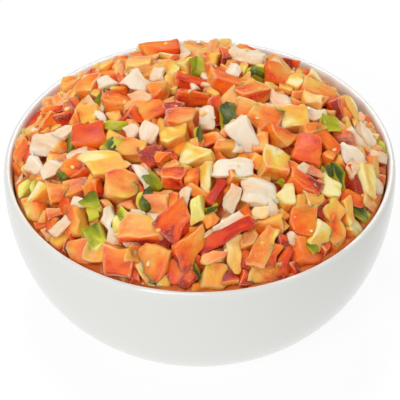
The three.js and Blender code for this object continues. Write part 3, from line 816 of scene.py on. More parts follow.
SEEN = {
    Kind.ONION: (
        Seen(185, 56, 7, 4, 3.6, 20, 0.5), Seen(138, 82, 14, 9.5, 4.6, -30, 0.15, 1.5, face=0.7),
        Seen(158, 74, 8.5, 6, 4, 85, 0.4, 0.5), Seen(195, 87, 4, 3.5, 3, 0, 0.5, 0.5, Form.WEDGE),
        Seen(206, 85, 4, 4, 3, 0, 0.6, 0.5, Form.WEDGE), Seen(138, 97, 11, 5.5, 4, 10, 0.75),
        Seen(148, 134, 10, 8.5, 4.6, 80, 0.1, 1.5, Form.ROUND, 0.7), Seen(133, 132, 7, 6, 4, 30, 0.5),
        Seen(208, 118, 11, 6.5, 4.5, -80, 0.2, 1.5, face=0.7), Seen(234, 54, 7, 5.5, 4, 60, 0.3),
        Seen(252, 58, 14, 8.5, 4.6, -5, 0.3, 1.5, Form.ROUND, 0.8),
        Seen(233, 71, 7, 5.5, 5, -10, 0.25, 1), Seen(275, 63, 6, 5, 4, 10, 0.7),
        Seen(280, 102, 12, 6, 4.2, -35, 0.35, 0.5, Form.ROUND), Seen(265, 107, 8, 3.5, 3.5, 10, 0.6),
        Seen(318, 114, 10, 6.5, 4, 0, 0.45), Seen(107, 82, 9, 7.5, 4.6, 15, 0.25, 1.5, Form.ROUND, 0.7),
        Seen(92, 105, 10, 3.8, 3.6, -45, 0.7), Seen(100, 115, 7, 3, 3, -50, 0.2, 0.5),
        Seen(105, 103, 9, 2.5, 2.5, 75, 0.3), Seen(65, 133, 9, 7, 4.4, 45, 0.3),
        Seen(45, 144, 15, 9.5, 4.8, -5, 0.3, 1, Form.ROUND), Seen(35, 166, 10, 8, 4.4, -40, 0.15, 0.5),
        Seen(53, 168, 10, 9, 4.6, 10, 0.35, 0.5), Seen(78, 153, 10, 3.5, 3.5, 15, 0.4),
        Seen(143, 177, 14, 5.5, 4.2, -57, 0.3, 1, Form.CRESCENT, 0.7),
        Seen(186, 198, 8.5, 5.5, 4.6, -85, 0.25, 1), Seen(245, 136, 16, 10, 4.8, -60, 0.0, 2, face=0.8),
        Seen(236, 147, 6, 3, 4, 80, 0.3), Seen(232, 168, 19, 11.5, 4.8, 8, 0.15, 1.5, Form.ROUND),
        Seen(260, 193, 15, 12, 4.8, -10, 0.25, 1.5, Form.ROUND), Seen(273, 210, 8, 5, 4.4, -70, 0.35, 1),
        Seen(231, 199, 12, 6.5, 4.4, 65, 0.55, 1), Seen(303, 168, 10, 5, 4, 40, 0.55),
        Seen(353, 156, 16, 8, 4.8, -48, 0.05, 1.5, Form.ROUND, 0.7), Seen(351, 170, 8, 6, 4, -60, 0.75),
        Seen(366, 136, 13, 7, 4.6, -50, 0.4, 0.5, Form.ROUND), Seen(355, 139, 11, 5, 4.2, -65, 0.35),
        Seen(378, 158, 11, 7, 4.4, -15, 0.6), Seen(359, 118, 7, 5, 4, 80, 0.8),
        Seen(380, 187, 9, 7.5, 4.4, -60, 0.6), Seen(107, 216, 9, 6, 4.4, 70, 0.25, 1),
        Seen(113, 236, 8, 6, 4.2, 80, 0.4, 0.5), Seen(127, 241, 9, 4.5, 4, -50, 0.3, 1, face=0.7),
        Seen(138, 215, 8, 4.5, 3.8, -40, 0.6), Seen(156, 216, 5, 4.5, 4, 20, 0.3),
        Seen(78, 205, 7, 4, 4, -10, 0.15, 0.5), Seen(64, 228, 12, 6.5, 4.4, 37, 0.6, 0.5),
        Seen(46, 233, 6, 4, 4, -50, 0.8), Seen(228, 222, 13.5, 5.5, 4.6, 28, 0.3, 1.5),
        Seen(207, 233, 6, 2.5, 3, 30, 0.7), Seen(292, 238, 7.5, 5, 4.4, -60, 0.65),
    ),
    Kind.CHILLI: (
        Seen(198, 67, 11, 8.5, 4, -82, 0.85, 1.5, face=0.8, skin=1),
        Seen(256, 74, 8.5, 6.5, 4, -10, 0.1, skin=1), Seen(262, 68, 4, 3, 3, 30, 0.9),
        Seen(235, 43, 3.5, 3.5, 3, 50, 0.95), Seen(101, 98, 8.5, 5, 3.6, 62, 0.25, skin=1),
        Seen(228, 117, 12, 6, 4, -85, 0.35, 0.5, skin=1),
        Seen(115, 125, 14, 5.5, 3.6, -3, 0.8, 0.5, Form.LENS, skin=1),
        Seen(331, 125, 9, 7, 4.6, 3, 0.75, 1.5, skin=1),
        Seen(199, 134, 10.5, 4.2, 3.6, -88, 0.25, 0.5, Form.LENS, skin=1),
        Seen(73, 143, 10, 5.5, 4, 55, 0.6, 0.5, Form.LENS, skin=1),
        Seen(119, 142, 8, 5, 3.8, 5, 0.55, 1, skin=1), Seen(110, 149, 8, 5, 4, -60, 0.1, skin=1),
        Seen(380, 146, 8, 6.5, 4, 10, 0.6, skin=1), Seen(379, 133, 4, 2.5, 3, 70, 0.85),
        Seen(337, 176, 13, 5.5, 4, -75, 0.5, 1, Form.LENS, skin=1),
        Seen(328, 172, 6.5, 3.5, 4, -85, 0.15, skin=1), Seen(64, 174, 7.5, 5.5, 4, 65, 0.5, 0.5, skin=1),
        Seen(26, 190, 9, 6.5, 4, 40, 0.95), Seen(35, 187, 7, 4.5, 3.8, -60, 0.95),
        Seen(153, 179, 12, 5, 4, -50, 0.1, skin=1), Seen(93, 204, 10, 7.5, 4.2, -50, 0.35, 1, skin=1),
        Seen(93, 216, 6, 5.5, 4, -80, 0.7, skin=1), Seen(96, 237, 13, 8, 4.2, -65, 0.4, 1, skin=1),
        Seen(144, 202, 10, 6, 4.2, -78, 0.55, 0.5, skin=1),
        Seen(127, 217, 9, 6, 4, -25, 0.5, 0.5, skin=1), Seen(119, 223, 8, 4, 4, -60, 0.95, 0.5),
        Seen(197, 211, 10.5, 7.5, 4.4, -80, 1.0, 0.5), Seen(211, 209, 7.5, 4.5, 4, 15, 0.5, 0.5, skin=1),
        Seen(361, 213, 10, 8, 4.4, -30, 0.2, 0.5, skin=1), Seen(369, 217, 5, 4, 4, 0, 0.8),
        Seen(196, 270, 11, 3.5, 3.6, -60, 0.0, -1, skin=1),
        Seen(308, 246, 9.5, 3.6, 3.6, -38, 0.2, skin=1), Seen(288, 158, 5, 4, 3.5, 0, 0.4, -3, skin=1),
    ),
    Kind.PULP: (
        Seen(312, 102, 8, 4.5, 4, -5, 0.35, 1), Seen(358, 151, 2.8, 2.2, 1.4, 0, 0.2, 3, Form.SEED),
        Seen(225, 252, 2.8, 2, 1.4, 80, 0.2, 1.5, Form.SEED),
        Seen(203, 113, 3.2, 2.5, 1.4, 0, 0.0, 3.5, Form.SEED), Seen(232, 251, 14, 7, 5, -85, 0.15, 1),
        Seen(67, 109, 2.5, 2, 1.4, 0, 0.0, 1, Form.SEED),
        Seen(143, 148, 3, 2.2, 1.4, 60, 0.4, 1, Form.SEED), Seen(259, 214, 7, 5, 5, 10, 0.1),
    ),
    Kind.TOMATO: (
        Seen(205, 43, 12, 7, 6, 0, 0.33), Seen(190, 46, 9, 5, 6, 0, 0.22),
        Seen(162, 51, 14, 9, 8, 15, 0.6, 1), Seen(177, 47, 6, 3, 6, 70, 0.4),
        Seen(213, 60, 8, 7, 7, 75, 0.48), Seen(143, 68, 10, 8, 7, 10, 0.36, pale=0.4),
        Seen(225, 41, 8, 5, 5, 20, 0.55), Seen(224, 58, 9, 4, 6, 85, 0.78, grain=1),
        Seen(262, 46, 9, 6, 6, -10, 0.35, pale=0.5), Seen(245, 45, 5, 4, 4, 0, 0.8, pale=0.5),
        Seen(274, 54, 6, 6, 6, 45, 0.48, 0, Form.WEDGE), Seen(288, 68, 8, 4, 7, 80, 0.6),
        Seen(296, 69, 8, 5, 7, -80, 0.35, pale=0.5), Seen(171, 71, 9.5, 5.5, 6, -70, 0.08),
        Seen(184, 68, 8.5, 6, 7, 80, 0.32), Seen(190, 83, 13, 5.5, 6, 0, 0.75, 0, skin=1),
        Seen(225, 83, 14, 10, 8, -20, 0.5, 0.5), Seen(243, 71, 6, 3, 5, 70, 0.5),
        Seen(276, 79, 12, 9.5, 8, -10, 0.45, 0.5, Form.ROUND),
        Seen(250, 93, 11.5, 11, 9, 42, 0.45, 1, grain=1, face=0), Seen(296, 86, 9, 5, 7, 85, 0.35),
        Seen(313, 69, 10, 3, 4, 0, 0.75, pale=0.5), Seen(319, 76, 6, 4, 5, 0, 0.78),
        Seen(303, 82, 4, 3, 4, 80, 0.7, pale=0.6), Seen(316, 83, 11, 3.5, 5, -5, 0.1),
        Seen(318, 94, 14, 9, 8, -5, 0.6, 0.5), Seen(336, 108, 8, 5, 6, -75, 0.85),
        Seen(348, 112, 12, 6.5, 7, -80, 0.08, 0.5, Form.ROUND), Seen(355, 104, 9, 4.5, 6, -80, 0.32),
        Seen(362, 108, 6, 2.5, 4, 85, 0.35), Seen(371, 125, 6, 4.5, 6, -60, 0.25),
        Seen(108, 68, 6, 4, 5, 75, 0.55), Seen(74, 85, 10, 3, 4, 25, 0.75, pale=0.4),
        Seen(90, 90, 10, 9, 8, -35, 0.63, 1), Seen(79, 93, 10, 4, 6, 60, 0.12),
        Seen(122, 84, 7, 3, 6, -70, 0.85), Seen(115, 105, 11.5, 10.5, 10, 5, 0.78, 1, grain=1, face=0.3),
        Seen(159, 94, 8.5, 8, 8, 20, 0.32, 1, Form.ROUND), Seen(137, 108, 9.5, 5, 6, 5, 0.4, pale=0.5),
        Seen(152, 113, 10, 10, 9, 30, 0.46), Seen(193, 98, 14, 7, 7, 8, 0.92, 1, Form.WEDGE, grain=0.6),
        Seen(172, 112, 10, 6, 7, 50, 0.9, 0.5),
        Seen(183, 123, 11, 9.5, 8, 5, 0.78, 1, Form.ROUND, grain=1),
        Seen(217, 114, 12, 4, 7, -75, 0.97, -1), Seen(213, 95, 5, 3, 4, -50, 0.3),
        Seen(135, 118, 7, 6, 7, -20, 0.88, -0.5), Seen(88, 118, 8.5, 8, 8, -5, 0.34),
        Seen(92, 139, 11, 10, 9, -5, 0.8, 1, skin=1), Seen(133, 150, 11, 9, 8, -10, 0.34, 0.5),
        Seen(150, 156, 9, 8, 7, 10, 0.92, 0.5, grain=1), Seen(162, 160, 5, 4, 5, 70, 0.6, 0.5),
        Seen(33, 124, 9.5, 7, 8, 85, 0.9, 0.5, skin=1), Seen(49, 124, 8.5, 6, 7, -85, 0.35),
        Seen(56, 100, 9, 9, 8, -10, 0.33, 0.5, grain=1, pale=0.4),
        Seen(66, 119, 7, 5, 6, 0, 0.95, 0, grain=1), Seen(55, 111, 9, 3, 5, 0, 0.7),
        Seen(78, 122, 5, 4, 5, -60, 0.7), Seen(22, 158, 8, 7, 8, 60, 0.45),
        Seen(80, 170, 12, 10.5, 9, 5, 0.6, 0.5, grain=0.4),
        Seen(108, 168, 14, 10.5, 9, 5, 0.2, 1, Form.ROUND),
        Seen(122, 189, 13, 11, 9, -10, 0.36, 0.5, Form.ROUND), Seen(172, 140, 13, 12, 9, -30, 0.4),
        Seen(198, 160, 13, 9, 8, -5, 0.14, 0.5, Form.WEDGE), Seen(206, 181, 12, 5, 7, -80, 0.14),
        Seen(196, 180, 8, 6, 7, 80, 0.55), Seen(173, 180, 9, 7, 7, -10, 0.65),
        Seen(161, 203, 9, 8, 7, -3, 0.36, 0.5, pale=0.4), Seen(175, 202, 7, 4, 7, 80, 0.5),
        Seen(167, 160, 7, 5, 6, 0, 1.0, -2), Seen(128, 173, 7, 4, 6, -60, 0.88, -2),
        Seen(140, 188, 8, 3.5, 6, -55, 0.88, -2), Seen(226, 149, 8, 6, 6, 10, 0.42),
        Seen(230, 132, 9, 3.5, 5, 60, 0.6, pale=0.4), Seen(247, 114, 9, 8, 8, -10, 0.52),
        Seen(265, 121, 13, 11, 9, -30, 0.44, 1), Seen(293, 121, 11.5, 9.5, 8, 0, 0.28, 0.5),
        Seen(312, 132, 10, 6, 7, 30, 0.37), Seen(281, 139, 11.5, 10, 8, 10, 0.62, 1, Form.WEDGE),
        Seen(261, 146, 6, 7, 6, 0, 0.7, pale=0.4), Seen(256, 163, 5, 5.5, 6, 80, 0.5),
        Seen(274, 165, 12, 10, 8, 70, 0.12, 1), Seen(245, 181, 14, 5, 7, 10, 0.5),
        Seen(218, 193, 9.5, 4, 6, 55, 0.87, skin=1), Seen(286, 196, 9, 6.5, 7, 70, 0.14),
        Seen(291, 172, 7, 6, 7, -20, 0.7), Seen(303, 187, 12, 7.5, 7, -10, 0.85, 0.5),
        Seen(316, 186, 6, 3, 5, 60, 0.6, pale=0.5),
        Seen(314, 175, 6, 4.5, 5, 0, 0.75, 0, grain=1, pale=0.5),
        Seen(308, 153, 11, 10, 9, -10, 0.52, 0.5), Seen(326, 144, 13, 6.5, 8, -52, 0.7, 0.5, skin=1),
        Seen(343, 141, 8, 7, 7, -20, 0.8, 0, grain=1, pale=0.3), Seen(329, 158, 6, 4, 6, 60, 0.82),
        Seen(331, 191, 10, 9, 8, -35, 0.08, 1), Seen(350, 184, 14, 4.5, 7, -85, 0.92, -1.5),
        Seen(363, 185, 13.5, 8, 8, -85, 0.35, 0.5), Seen(368, 204, 10, 5, 6, -15, 0.5, pale=0.4),
        Seen(312, 203, 9, 5, 6, -5, 0.42), Seen(301, 205, 7, 6, 6, 75, 0.0),
        Seen(321, 209, 8, 5.5, 6, 20, 0.98, -1), Seen(343, 213, 10, 4.5, 7, -85, 0.5),
        Seen(330, 214, 9, 8, 8, 40, 0.36, 0.5), Seen(331, 231, 8, 8, 8, -40, 0.4),
        Seen(305, 223, 11, 11, 9, 10, 0.5, 0.5), Seen(316, 234, 11, 9, 8, 55, 0.12, 0.5),
        Seen(355, 233, 8, 7, 7, -15, 0.2), Seen(323, 246, 6, 6, 6, 50, 0.95, -1.5),
        Seen(336, 243, 8, 8, 7, 60, 0.72), Seen(306, 258, 12, 8, 8, 5, 0.47),
        Seen(283, 264, 12, 5, 8, 70, 0.86, skin=1), Seen(273, 256, 9, 4, 7, 70, 0.84),
        Seen(291, 268, 6, 5, 6, -60, 0.98, -1.5), Seen(285, 244, 7, 5, 6, 0, 0.98, -1.5, grain=1),
        Seen(41, 196, 9.5, 6, 7, 45, 0.2, 0.5), Seen(60, 196, 8.5, 8, 8, -5, 0.4, 0.5),
        Seen(59, 213, 8, 5, 7, 10, 0.62, 0, grain=1, pale=0.3), Seen(38, 212, 11, 7, 8, -3, 0.42),
        Seen(44, 226, 7, 4, 6, 0, 0.92, -2), Seen(61, 244, 8, 7, 7, 15, 0.42),
        Seen(77, 190, 10, 7.5, 7, 0, 0.74, 0, grain=1, pale=0.3), Seen(96, 190, 7, 5, 6, -75, 0.8),
        Seen(79, 221, 11, 6.5, 8, -80, 0.42), Seen(78, 251, 11, 9, 8, 15, 0.47, pale=0.2),
        Seen(96, 254, 8, 8, 8, -20, 0.45), Seen(71, 247, 8, 3, 6, 60, 0.8),
        Seen(118, 262, 11, 11, 9, -5, 0.55, 0.5, face=0.2), Seen(146, 233, 15, 9.5, 9, -12, 0.42, 0.5),
        Seen(172, 226, 14, 12, 9, 50, 0.88, 1, grain=0.6), Seen(165, 242, 6, 5, 6, 0, 1.0, -2.5),
        Seen(156, 262, 13, 12, 9, 60, 0.42, 0.5), Seen(138, 253, 8, 8, 8, 0, 0.46),
        Seen(135, 273, 7, 3.5, 7, 85, 0.95, -1.5), Seen(145, 274, 7, 3.5, 6, -70, 0.45, pale=0.4),
        Seen(160, 282, 8, 4, 7, 0, 0.05), Seen(188, 248, 13, 8, 7, 35, 0.76, 0.5),
        Seen(222, 238, 26, 6, 4.4, 27, 0.75, 1.5, face=0.3, skin=1),
        Seen(245, 222, 9, 5, 6, -75, 0.8, 0.5, skin=1),
        Seen(183, 276, 10, 10, 9, -85, 0.85, 0.5, grain=1), Seen(200, 262, 6, 4, 5, -30, 0.98, -2),
        Seen(213, 259, 8, 7, 7, 0, 0.4, 1, Form.ROUND, pale=0.5),
        Seen(214, 279, 9.5, 9, 8, 80, 0.24, 0.5), Seen(231, 279, 5.5, 7, 7, 0, 0.93),
        Seen(243, 278, 5, 6, 6, 0, 0.98, -1.5), Seen(249, 242, 7, 6.5, 7, 20, 0.45, pale=0.3),
        Seen(245, 260, 8, 4, 6, 80, 0.97, -1), Seen(264, 250, 17, 7, 7, 55, 0.56, 1, grain=0.8),
        Seen(263, 274, 10.5, 7.5, 8, -5, 0.5, 0, grain=1), Seen(265, 225, 12, 5, 7, 5, 0.55),
        Seen(212, 222, 7, 6, 6, 50, 0.26), Seen(198, 196, 11, 4, 6, -30, 0.77, -1),
        Seen(299, 141, 5, 4, 5, 0, 0.97, -2),
    ),
}


NOISE_SHIFTS = (Vector((0.0, 0.0, 0.0)), Vector((31.4, 0.0, 7.9)), Vector((0.0, 17.7, 49.1)))


def uneven(place: Vector) -> Vector:
    """A smooth random vector that is always the same at a place, unlike the noise module's own."""
    return Vector(noise.noise(place + shift) for shift in NOISE_SHIFTS)


@dataclass
class Cutter:
    """Cuts pieces: each is a cuboid with sliced corners, soft edges, a bend and an uneven surface."""

    seed: int
    wedge_loss: float = 0.42       # how much narrower each outline gets towards its ends
    pointed_loss: float = 0.72
    round_loss: float = 0.35
    crowding: float = 0.6          # under 1, a piece's squares crowd towards its edges
    most_narrow: float = 0.35      # how much a piece may narrow, thin and skew along its length
    most_thin: float = 0.3
    most_skew: float = 0.3
    slice_span: tuple[float, float] = (0.12, 0.42)   # a slice's depth as a share of the breadth
    most_lean: float = 0.9         # how far a slice leans from upright
    on_side: float = 0.49          # from here out, a point of the unit cube lies on a side
    rim_from: float = 0.8         # where the paler rim painted along an edge starts, and how wide it is
    rim_width: float = 0.2
    side_spread: float = 0.8
    painted_side_glow: float = 0.24      # painted glow: how much warmer the sides of a pale piece are made, most halfway up, for light that comes through the flesh in shade
    lump_size: float = 4.5 * MM
    ripple_size: float = 2.2 * MM
    full_size: float = 5 * MM      # a piece that is thinner is less uneven
    bow_span: tuple[float, float] = (0.5, 1.4)
    bow_level: float = 0.4         # the share of its bow by which a piece's middle stands out
    crescent_bow: float = 0.18

    def __post_init__(self) -> None:
        """Starts the stream of random numbers."""
        self.random = random.Random(self.seed)

    def outline_width(self, form: Form, along: float, narrow: float) -> float:
        """The share of its full width that a piece has at a place along its length.

        Args:
            form: The outline of its broad side.
            along: The place, from -1 to 1.
            narrow: How much a block narrows towards its far end.

        Returns:
            A share from 0 to 1.
        """
        if form is Form.WEDGE:
            return 1 - self.wedge_loss * (along + 1)
        if form in (Form.LENS, Form.CRESCENT):
            return 1 - self.pointed_loss * along * along
        if form is Form.ROUND:
            return 1 - self.round_loss * along * along
        return 1 - narrow * (along + 1) / 2

    def grid(self, piece: CutPiece) -> bmesh.types.BMesh:
        """A unit cube whose sides are cut into squares that crowd towards its edges.

        Args:
            piece: The piece to cut.

        Returns:
            The cube, or a ball for a seed.
        """
        bm = bmesh.new()
        bmesh.ops.create_cube(bm, size=1.0)
        bmesh.ops.subdivide_edges(bm, edges=bm.edges, cuts=piece.cuts, use_grid_fill=True)
        for vert in bm.verts:
            if piece.form is Form.SEED:
                vert.co = vert.co.normalized() * 0.5
            else:
                vert.co = Vector(math.copysign(0.5 * abs(2 * c) ** self.crowding, c) for c in vert.co)
        return bm

    def stock(self, piece: CutPiece, cut: Cut, bm: bmesh.types.BMesh) -> None:
        """Gives a unit cube the piece's size and outline, with wandering corners and some sliced off.

        Args:
            piece: The piece to cut.
            cut: How its kind is cut.
            bm: The cube.
        """
        narrow = self.random.random() * self.most_narrow
        thin = self.random.random() * self.most_thin
        skew = self.random.uniform(-self.most_skew, self.most_skew)
        corners = [self.drawn_vector(cut.wander * min(piece.size)) for _ in range(8)]
        for vert in bm.verts:
            x, y, z = vert.co
            across = self.outline_width(piece.form, 2 * x, narrow)
            pull = Vector((0.0, 0.0, 0.0))
            for number, corner in enumerate(corners):
                share = (0.5 + x * (1 if number & 1 else -1)) * (0.5 + y * (1 if number & 2 else -1))
                pull += corner * share * (0.5 + z * (1 if number & 4 else -1))
            vert.co = pull + Vector((
                x * piece.size.x + skew * y * piece.size.y,
                y * piece.size.y * across,
                z * piece.size.z * (1 - thin * (x + 0.5))))
        for _ in range(self.random.randint(0, cut.corner_cuts)):
            self.slice_off(bm, piece.size)

    def drawn_vector(self, size: float) -> Vector:
        """A random vector in a cube of a half side."""
        return Vector(self.random.uniform(-size, size) for _ in range(3))

    def slice_off(self, bm: bmesh.types.BMesh, size: Vector) -> None:
        """Slices one upright edge or corner off flat, by bringing what lies beyond the knife back to it.

        Args:
            bm: The piece.
            size: Its size.
        """
        signs = [self.random.choice((-1, 1)) for _ in range(3)]
        rise = signs[2] * self.random.uniform(0, self.most_lean) * size.z
        normal = Vector((signs[0] * size.y, signs[1] * size.x, rise)).normalized()
        corner = Vector(s * a / 2 for s, a in zip(signs, size))
        edge = corner - normal * self.random.uniform(*self.slice_span) * min(size.x, size.y)
        for vert in bm.verts:
            beyond = (vert.co - edge).dot(normal)
            if beyond > 0:
                vert.co -= normal * beyond

    def cut(self, piece: CutPiece) -> bmesh.types.BMesh:
        """Makes the piece's mesh at its place in the heap.

        Args:
            piece: The piece to cut.

        Returns:
            The mesh in the row frame.
        """
        cut = CUTS[piece.kind]
        bm = self.grid(piece)
        self.dress(bm, piece, cut)
        self.stock(piece, cut, bm)
        bmesh.ops.smooth_vert(
            bm, verts=bm.verts, factor=cut.softness, use_axis_x=True, use_axis_y=True, use_axis_z=True)
        self.bend(bm, piece, cut)
        turned = Matrix.LocRotScale(piece.spot, piece.turn, None)
        bmesh.ops.transform(bm, matrix=turned, verts=bm.verts)
        return bm

    def dress(self, bm: bmesh.types.BMesh, piece: CutPiece, cut: Cut) -> None:
        """Stores the piece's look and each point's own place for the finish, on the unit cube.

        Args:
            bm: The cube.
            piece: The piece to cut.
            cut: How its kind is cut.
        """
        look = bm.verts.layers.float_color.new(LOOK)
        place = bm.verts.layers.float_vector.new(PLACE)
        shift = self.drawn_vector(0.5)
        drift = self.drawn_vector(1.0).normalized() * cut.drift
        spread = self.side_spread
        sides = [self.random.uniform(-spread, spread) * cut.side_tone for _ in range(6)]
        # painted light: a paler rim of random strength along the edges, where the look's fourth channel rises
        glow = cut.edge_rim * self.random.uniform(0.0, 1.0)
        for vert in bm.verts:
            near = sorted(abs(2 * c) for c in vert.co)
            edge = max(near[1] - self.rim_from, 0.0) / self.rim_width
            here = [side for c, side in zip((*vert.co, *-vert.co), sides) if c > self.on_side]
            change = drift.dot(vert.co) * 2 + sum(here) / max(len(here), 1)
            # painted glow on the sides, for light that comes through the flesh in shade
            if max(abs(vert.co.x), abs(vert.co.y)) > self.on_side:
                change += self.painted_side_glow * (1 - piece.tone) * (1 - 2 * abs(vert.co.z))
            tone = min(max(piece.tone + change, 0.0), 1.0)
            skin = piece.skin if vert.co.z > self.on_side else 0.0
            vert[look] = (tone, skin, piece.grain, max(piece.pale, glow * edge))
            vert[place] = Vector(c * a for c, a in zip(vert.co, piece.size)) + shift

    def bend(self, bm: bmesh.types.BMesh, piece: CutPiece, cut: Cut) -> None:
        """Curves the piece as the layer or wall that it was cut from, and makes its surface uneven.

        Args:
            bm: The piece's mesh.
            piece: The piece.
            cut: How its kind is cut.
        """
        seed = self.drawn_vector(50.0)
        bow = cut.bend * MM * self.random.uniform(*self.bow_span)
        side_bow = self.crescent_bow * piece.size.x if piece.form is Form.CRESCENT else 0.0
        small = min(1.0, min(piece.size) / self.full_size)
        for vert in bm.verts:
            along = vert.co.x / (piece.size.x / 2)
            wave = uneven(vert.co / self.lump_size + seed) * cut.lump
            ripple = uneven(vert.co / self.ripple_size - seed) * cut.ripple
            wave.z *= cut.flatness
            if piece.form is not Form.SEED:
                vert.co += (wave + ripple) * small * MM
            vert.co.z -= bow * (along * along - self.bow_level)
            vert.co.y -= side_bow * (along * along - self.bow_level)


# ---------------------------------------------------------------- the pile


@dataclass
class Settling:
    """Moves pieces apart until none cuts another, each held near its place. All lengths in metres.

    A piece counts as a rigid set of balls. Touching balls push their pieces apart and turn them.
    """

    form: HeapForm
    balls: int = 9
    rounds: int = 60
    fresh_after: int = 5           # how often the pairs that may touch are looked for again
    near: float = 1 * MM
    slip: float = 0.04 * MM        # how far a piece sinks in the first round
    hold_seen: float = 0.10        # how strongly a piece is drawn back to its place in each round
    hold_other: float = 0.03
    push_share: float = 1.3
    twist_reach: float = 0.55      # a piece's arm of inertia as a share of its half diagonal
    wall_gap: float = 0.5 * MM
    lip_room: float = 0.8 * MM
    firmness: float = 0.74         # how much of its size a piece keeps to itself
    slender_from: float = 2.2      # length against width from which one row of balls stands for a piece
    thick_from: float = 0.62       # thickness against width from which its corners have a ball each
    corner_ball: float = 1.06
    middle_ball: float = 0.98
    least: float = 1e-9            # what a divisor is at least
    spot_digits: int = 8           # rounded, so that the pile ends alike whatever the last digits do
    turn_digits: int = 6

    def ball_set(self, size: Vector) -> tuple[np.ndarray, np.ndarray]:
        """Balls that fill a piece.

        Args:
            size: Length, width and thickness of the piece.

        Returns:
            The balls' middles on the piece, and their radii.
        """
        half = np.array(size) / 2 * self.firmness
        if half[0] > self.slender_from * half[1]:
            radius = half[2]
            along = np.linspace(-1, 1, self.balls) * (half[0] - radius)
            middles = np.stack([along, along * 0, along * 0], axis=1)
            return middles, np.full(self.balls, radius)
        if half[2] > self.thick_from * half[1]:
            radius = 0.5 * half.min() * self.corner_ball
            inset = half - radius
            signs = np.array([(x, y, z) for x in (-1, 1) for y in (-1, 1) for z in (-1, 1)])
            middles = np.vstack([signs * inset, np.zeros((1, 3))])
            return middles, np.append(np.full(8, radius), half.min() * self.middle_ball)
        radius = half[2]
        inset = half - radius
        middles = np.array([(x * inset[0], y * inset[1], 0.0) for x in (-1, 0, 1) for y in (-1, 0, 1)])
        return middles, np.full(self.balls, radius)

    def run(self, pieces: list[CutPiece]) -> None:
        """Settles the pieces in place.

        Args:
            pieces: The pieces, whose spot and turn are changed.
        """
        count = len(pieces)
        sets = [self.ball_set(piece.size) for piece in pieces]
        local = np.stack([middles for middles, _ in sets])
        radii = np.stack([radius for _, radius in sets])
        spots = np.array([piece.spot for piece in pieces])
        turns = np.array([piece.turn.to_matrix() for piece in pieces])
        anchors, first_turns = spots.copy(), turns.copy()
        hold = np.array([self.hold_seen if piece.seen else self.hold_other for piece in pieces])
        reach = np.linalg.norm(np.abs(local).max(axis=1) + radii.max(axis=1)[:, None], axis=1)
        inertia = (reach * self.twist_reach) ** 2
        least = np.array([min(piece.size) / 2 for piece in pieces])
        for step in range(self.rounds):
            if step % self.fresh_after == 0:
                first, second = self.near_pairs(spots, reach)
            world = spots[:, None] + np.einsum("nij,nbj->nbi", turns, local)
            push, twist, touches = np.zeros((count, 3)), np.zeros((count, 3)), np.zeros(count)
            self.part(world, radii, spots, inertia, first, second, push, twist, touches)
            self.keep_in_bowl(world, radii, spots, inertia, push, twist, touches)
            share = self.push_share / np.maximum(touches, 1.0)
            spots = spots + push * share[:, None]
            spots[:, 2] -= self.slip * (1 - step / self.rounds)
            spots = self.held_in(spots + (anchors - spots) * hold[:, None], least)
            turns = self.turned(turns, twist * share[:, None])
            turns = self.squared(turns + (first_turns - turns) * hold[:, None, None])
            spots, turns = np.round(spots, self.spot_digits), np.round(turns, self.turn_digits)
        for piece, spot, turn in zip(pieces, spots, turns):
            piece.spot = Vector(spot)
            piece.turn = Matrix(turn).to_quaternion()

    def near_pairs(self, spots: np.ndarray, reach: np.ndarray) -> tuple[np.ndarray, np.ndarray]:
        """The pairs of pieces that may touch.

        Args:
            spots: The pieces' middles.
            reach: Their half diagonals.

        Returns:
            The numbers of the first and of the second piece of each pair.
        """
        apart = np.linalg.norm(spots[:, None] - spots[None], axis=2)
        close = np.triu(apart < reach[:, None] + reach[None] + self.near, 1)
        return np.nonzero(close)

    def part(
        self, world: np.ndarray, radii: np.ndarray, spots: np.ndarray, inertia: np.ndarray,
        first: np.ndarray, second: np.ndarray, push: np.ndarray, twist: np.ndarray, touches: np.ndarray,
    ) -> None:
        """Parts each pair of pieces whose balls overlap.

        Args:
            world: The balls' middles, by piece.
            radii: Their radii.
            spots: The pieces' middles.
            inertia: The squares of their arms of inertia.
            first: The first piece of each pair that may touch.
            second: The second piece of each pair.
            push: The pieces' moves, which this adds to.
            twist: Their turns, which this adds to.
            touches: Their counts of touches, which this adds to.
        """
        gap = world[first][:, :, None] - world[second][:, None]
        apart = np.linalg.norm(gap, axis=3)
        over = radii[first][:, :, None] + radii[second][:, None] - apart
        pair, ball, other = np.nonzero(over > 0)
        if len(pair) == 0:
            return
        depth = over[pair, ball, other]
        normal = gap[pair, ball, other] / np.maximum(apart[pair, ball, other], self.least)[:, None]
        one, two = first[pair], second[pair]
        contact = world[two, other] + normal * (radii[two, other] - depth / 2)[:, None]
        arm_one, arm_two = contact - spots[one], contact - spots[two]
        turn_one, turn_two = np.cross(arm_one, normal), np.cross(arm_two, normal)
        ease_one = 1 + (turn_one ** 2).sum(axis=1) / inertia[one]
        ease_two = 1 + (turn_two ** 2).sum(axis=1) / inertia[two]
        shift = depth / (ease_one + ease_two)
        np.add.at(push, one, normal * shift[:, None])
        np.add.at(push, two, -normal * shift[:, None])
        np.add.at(twist, one, turn_one * (shift / inertia[one])[:, None])
        np.add.at(twist, two, -turn_two * (shift / inertia[two])[:, None])
        np.add.at(touches, one, 1)
        np.add.at(touches, two, 1)

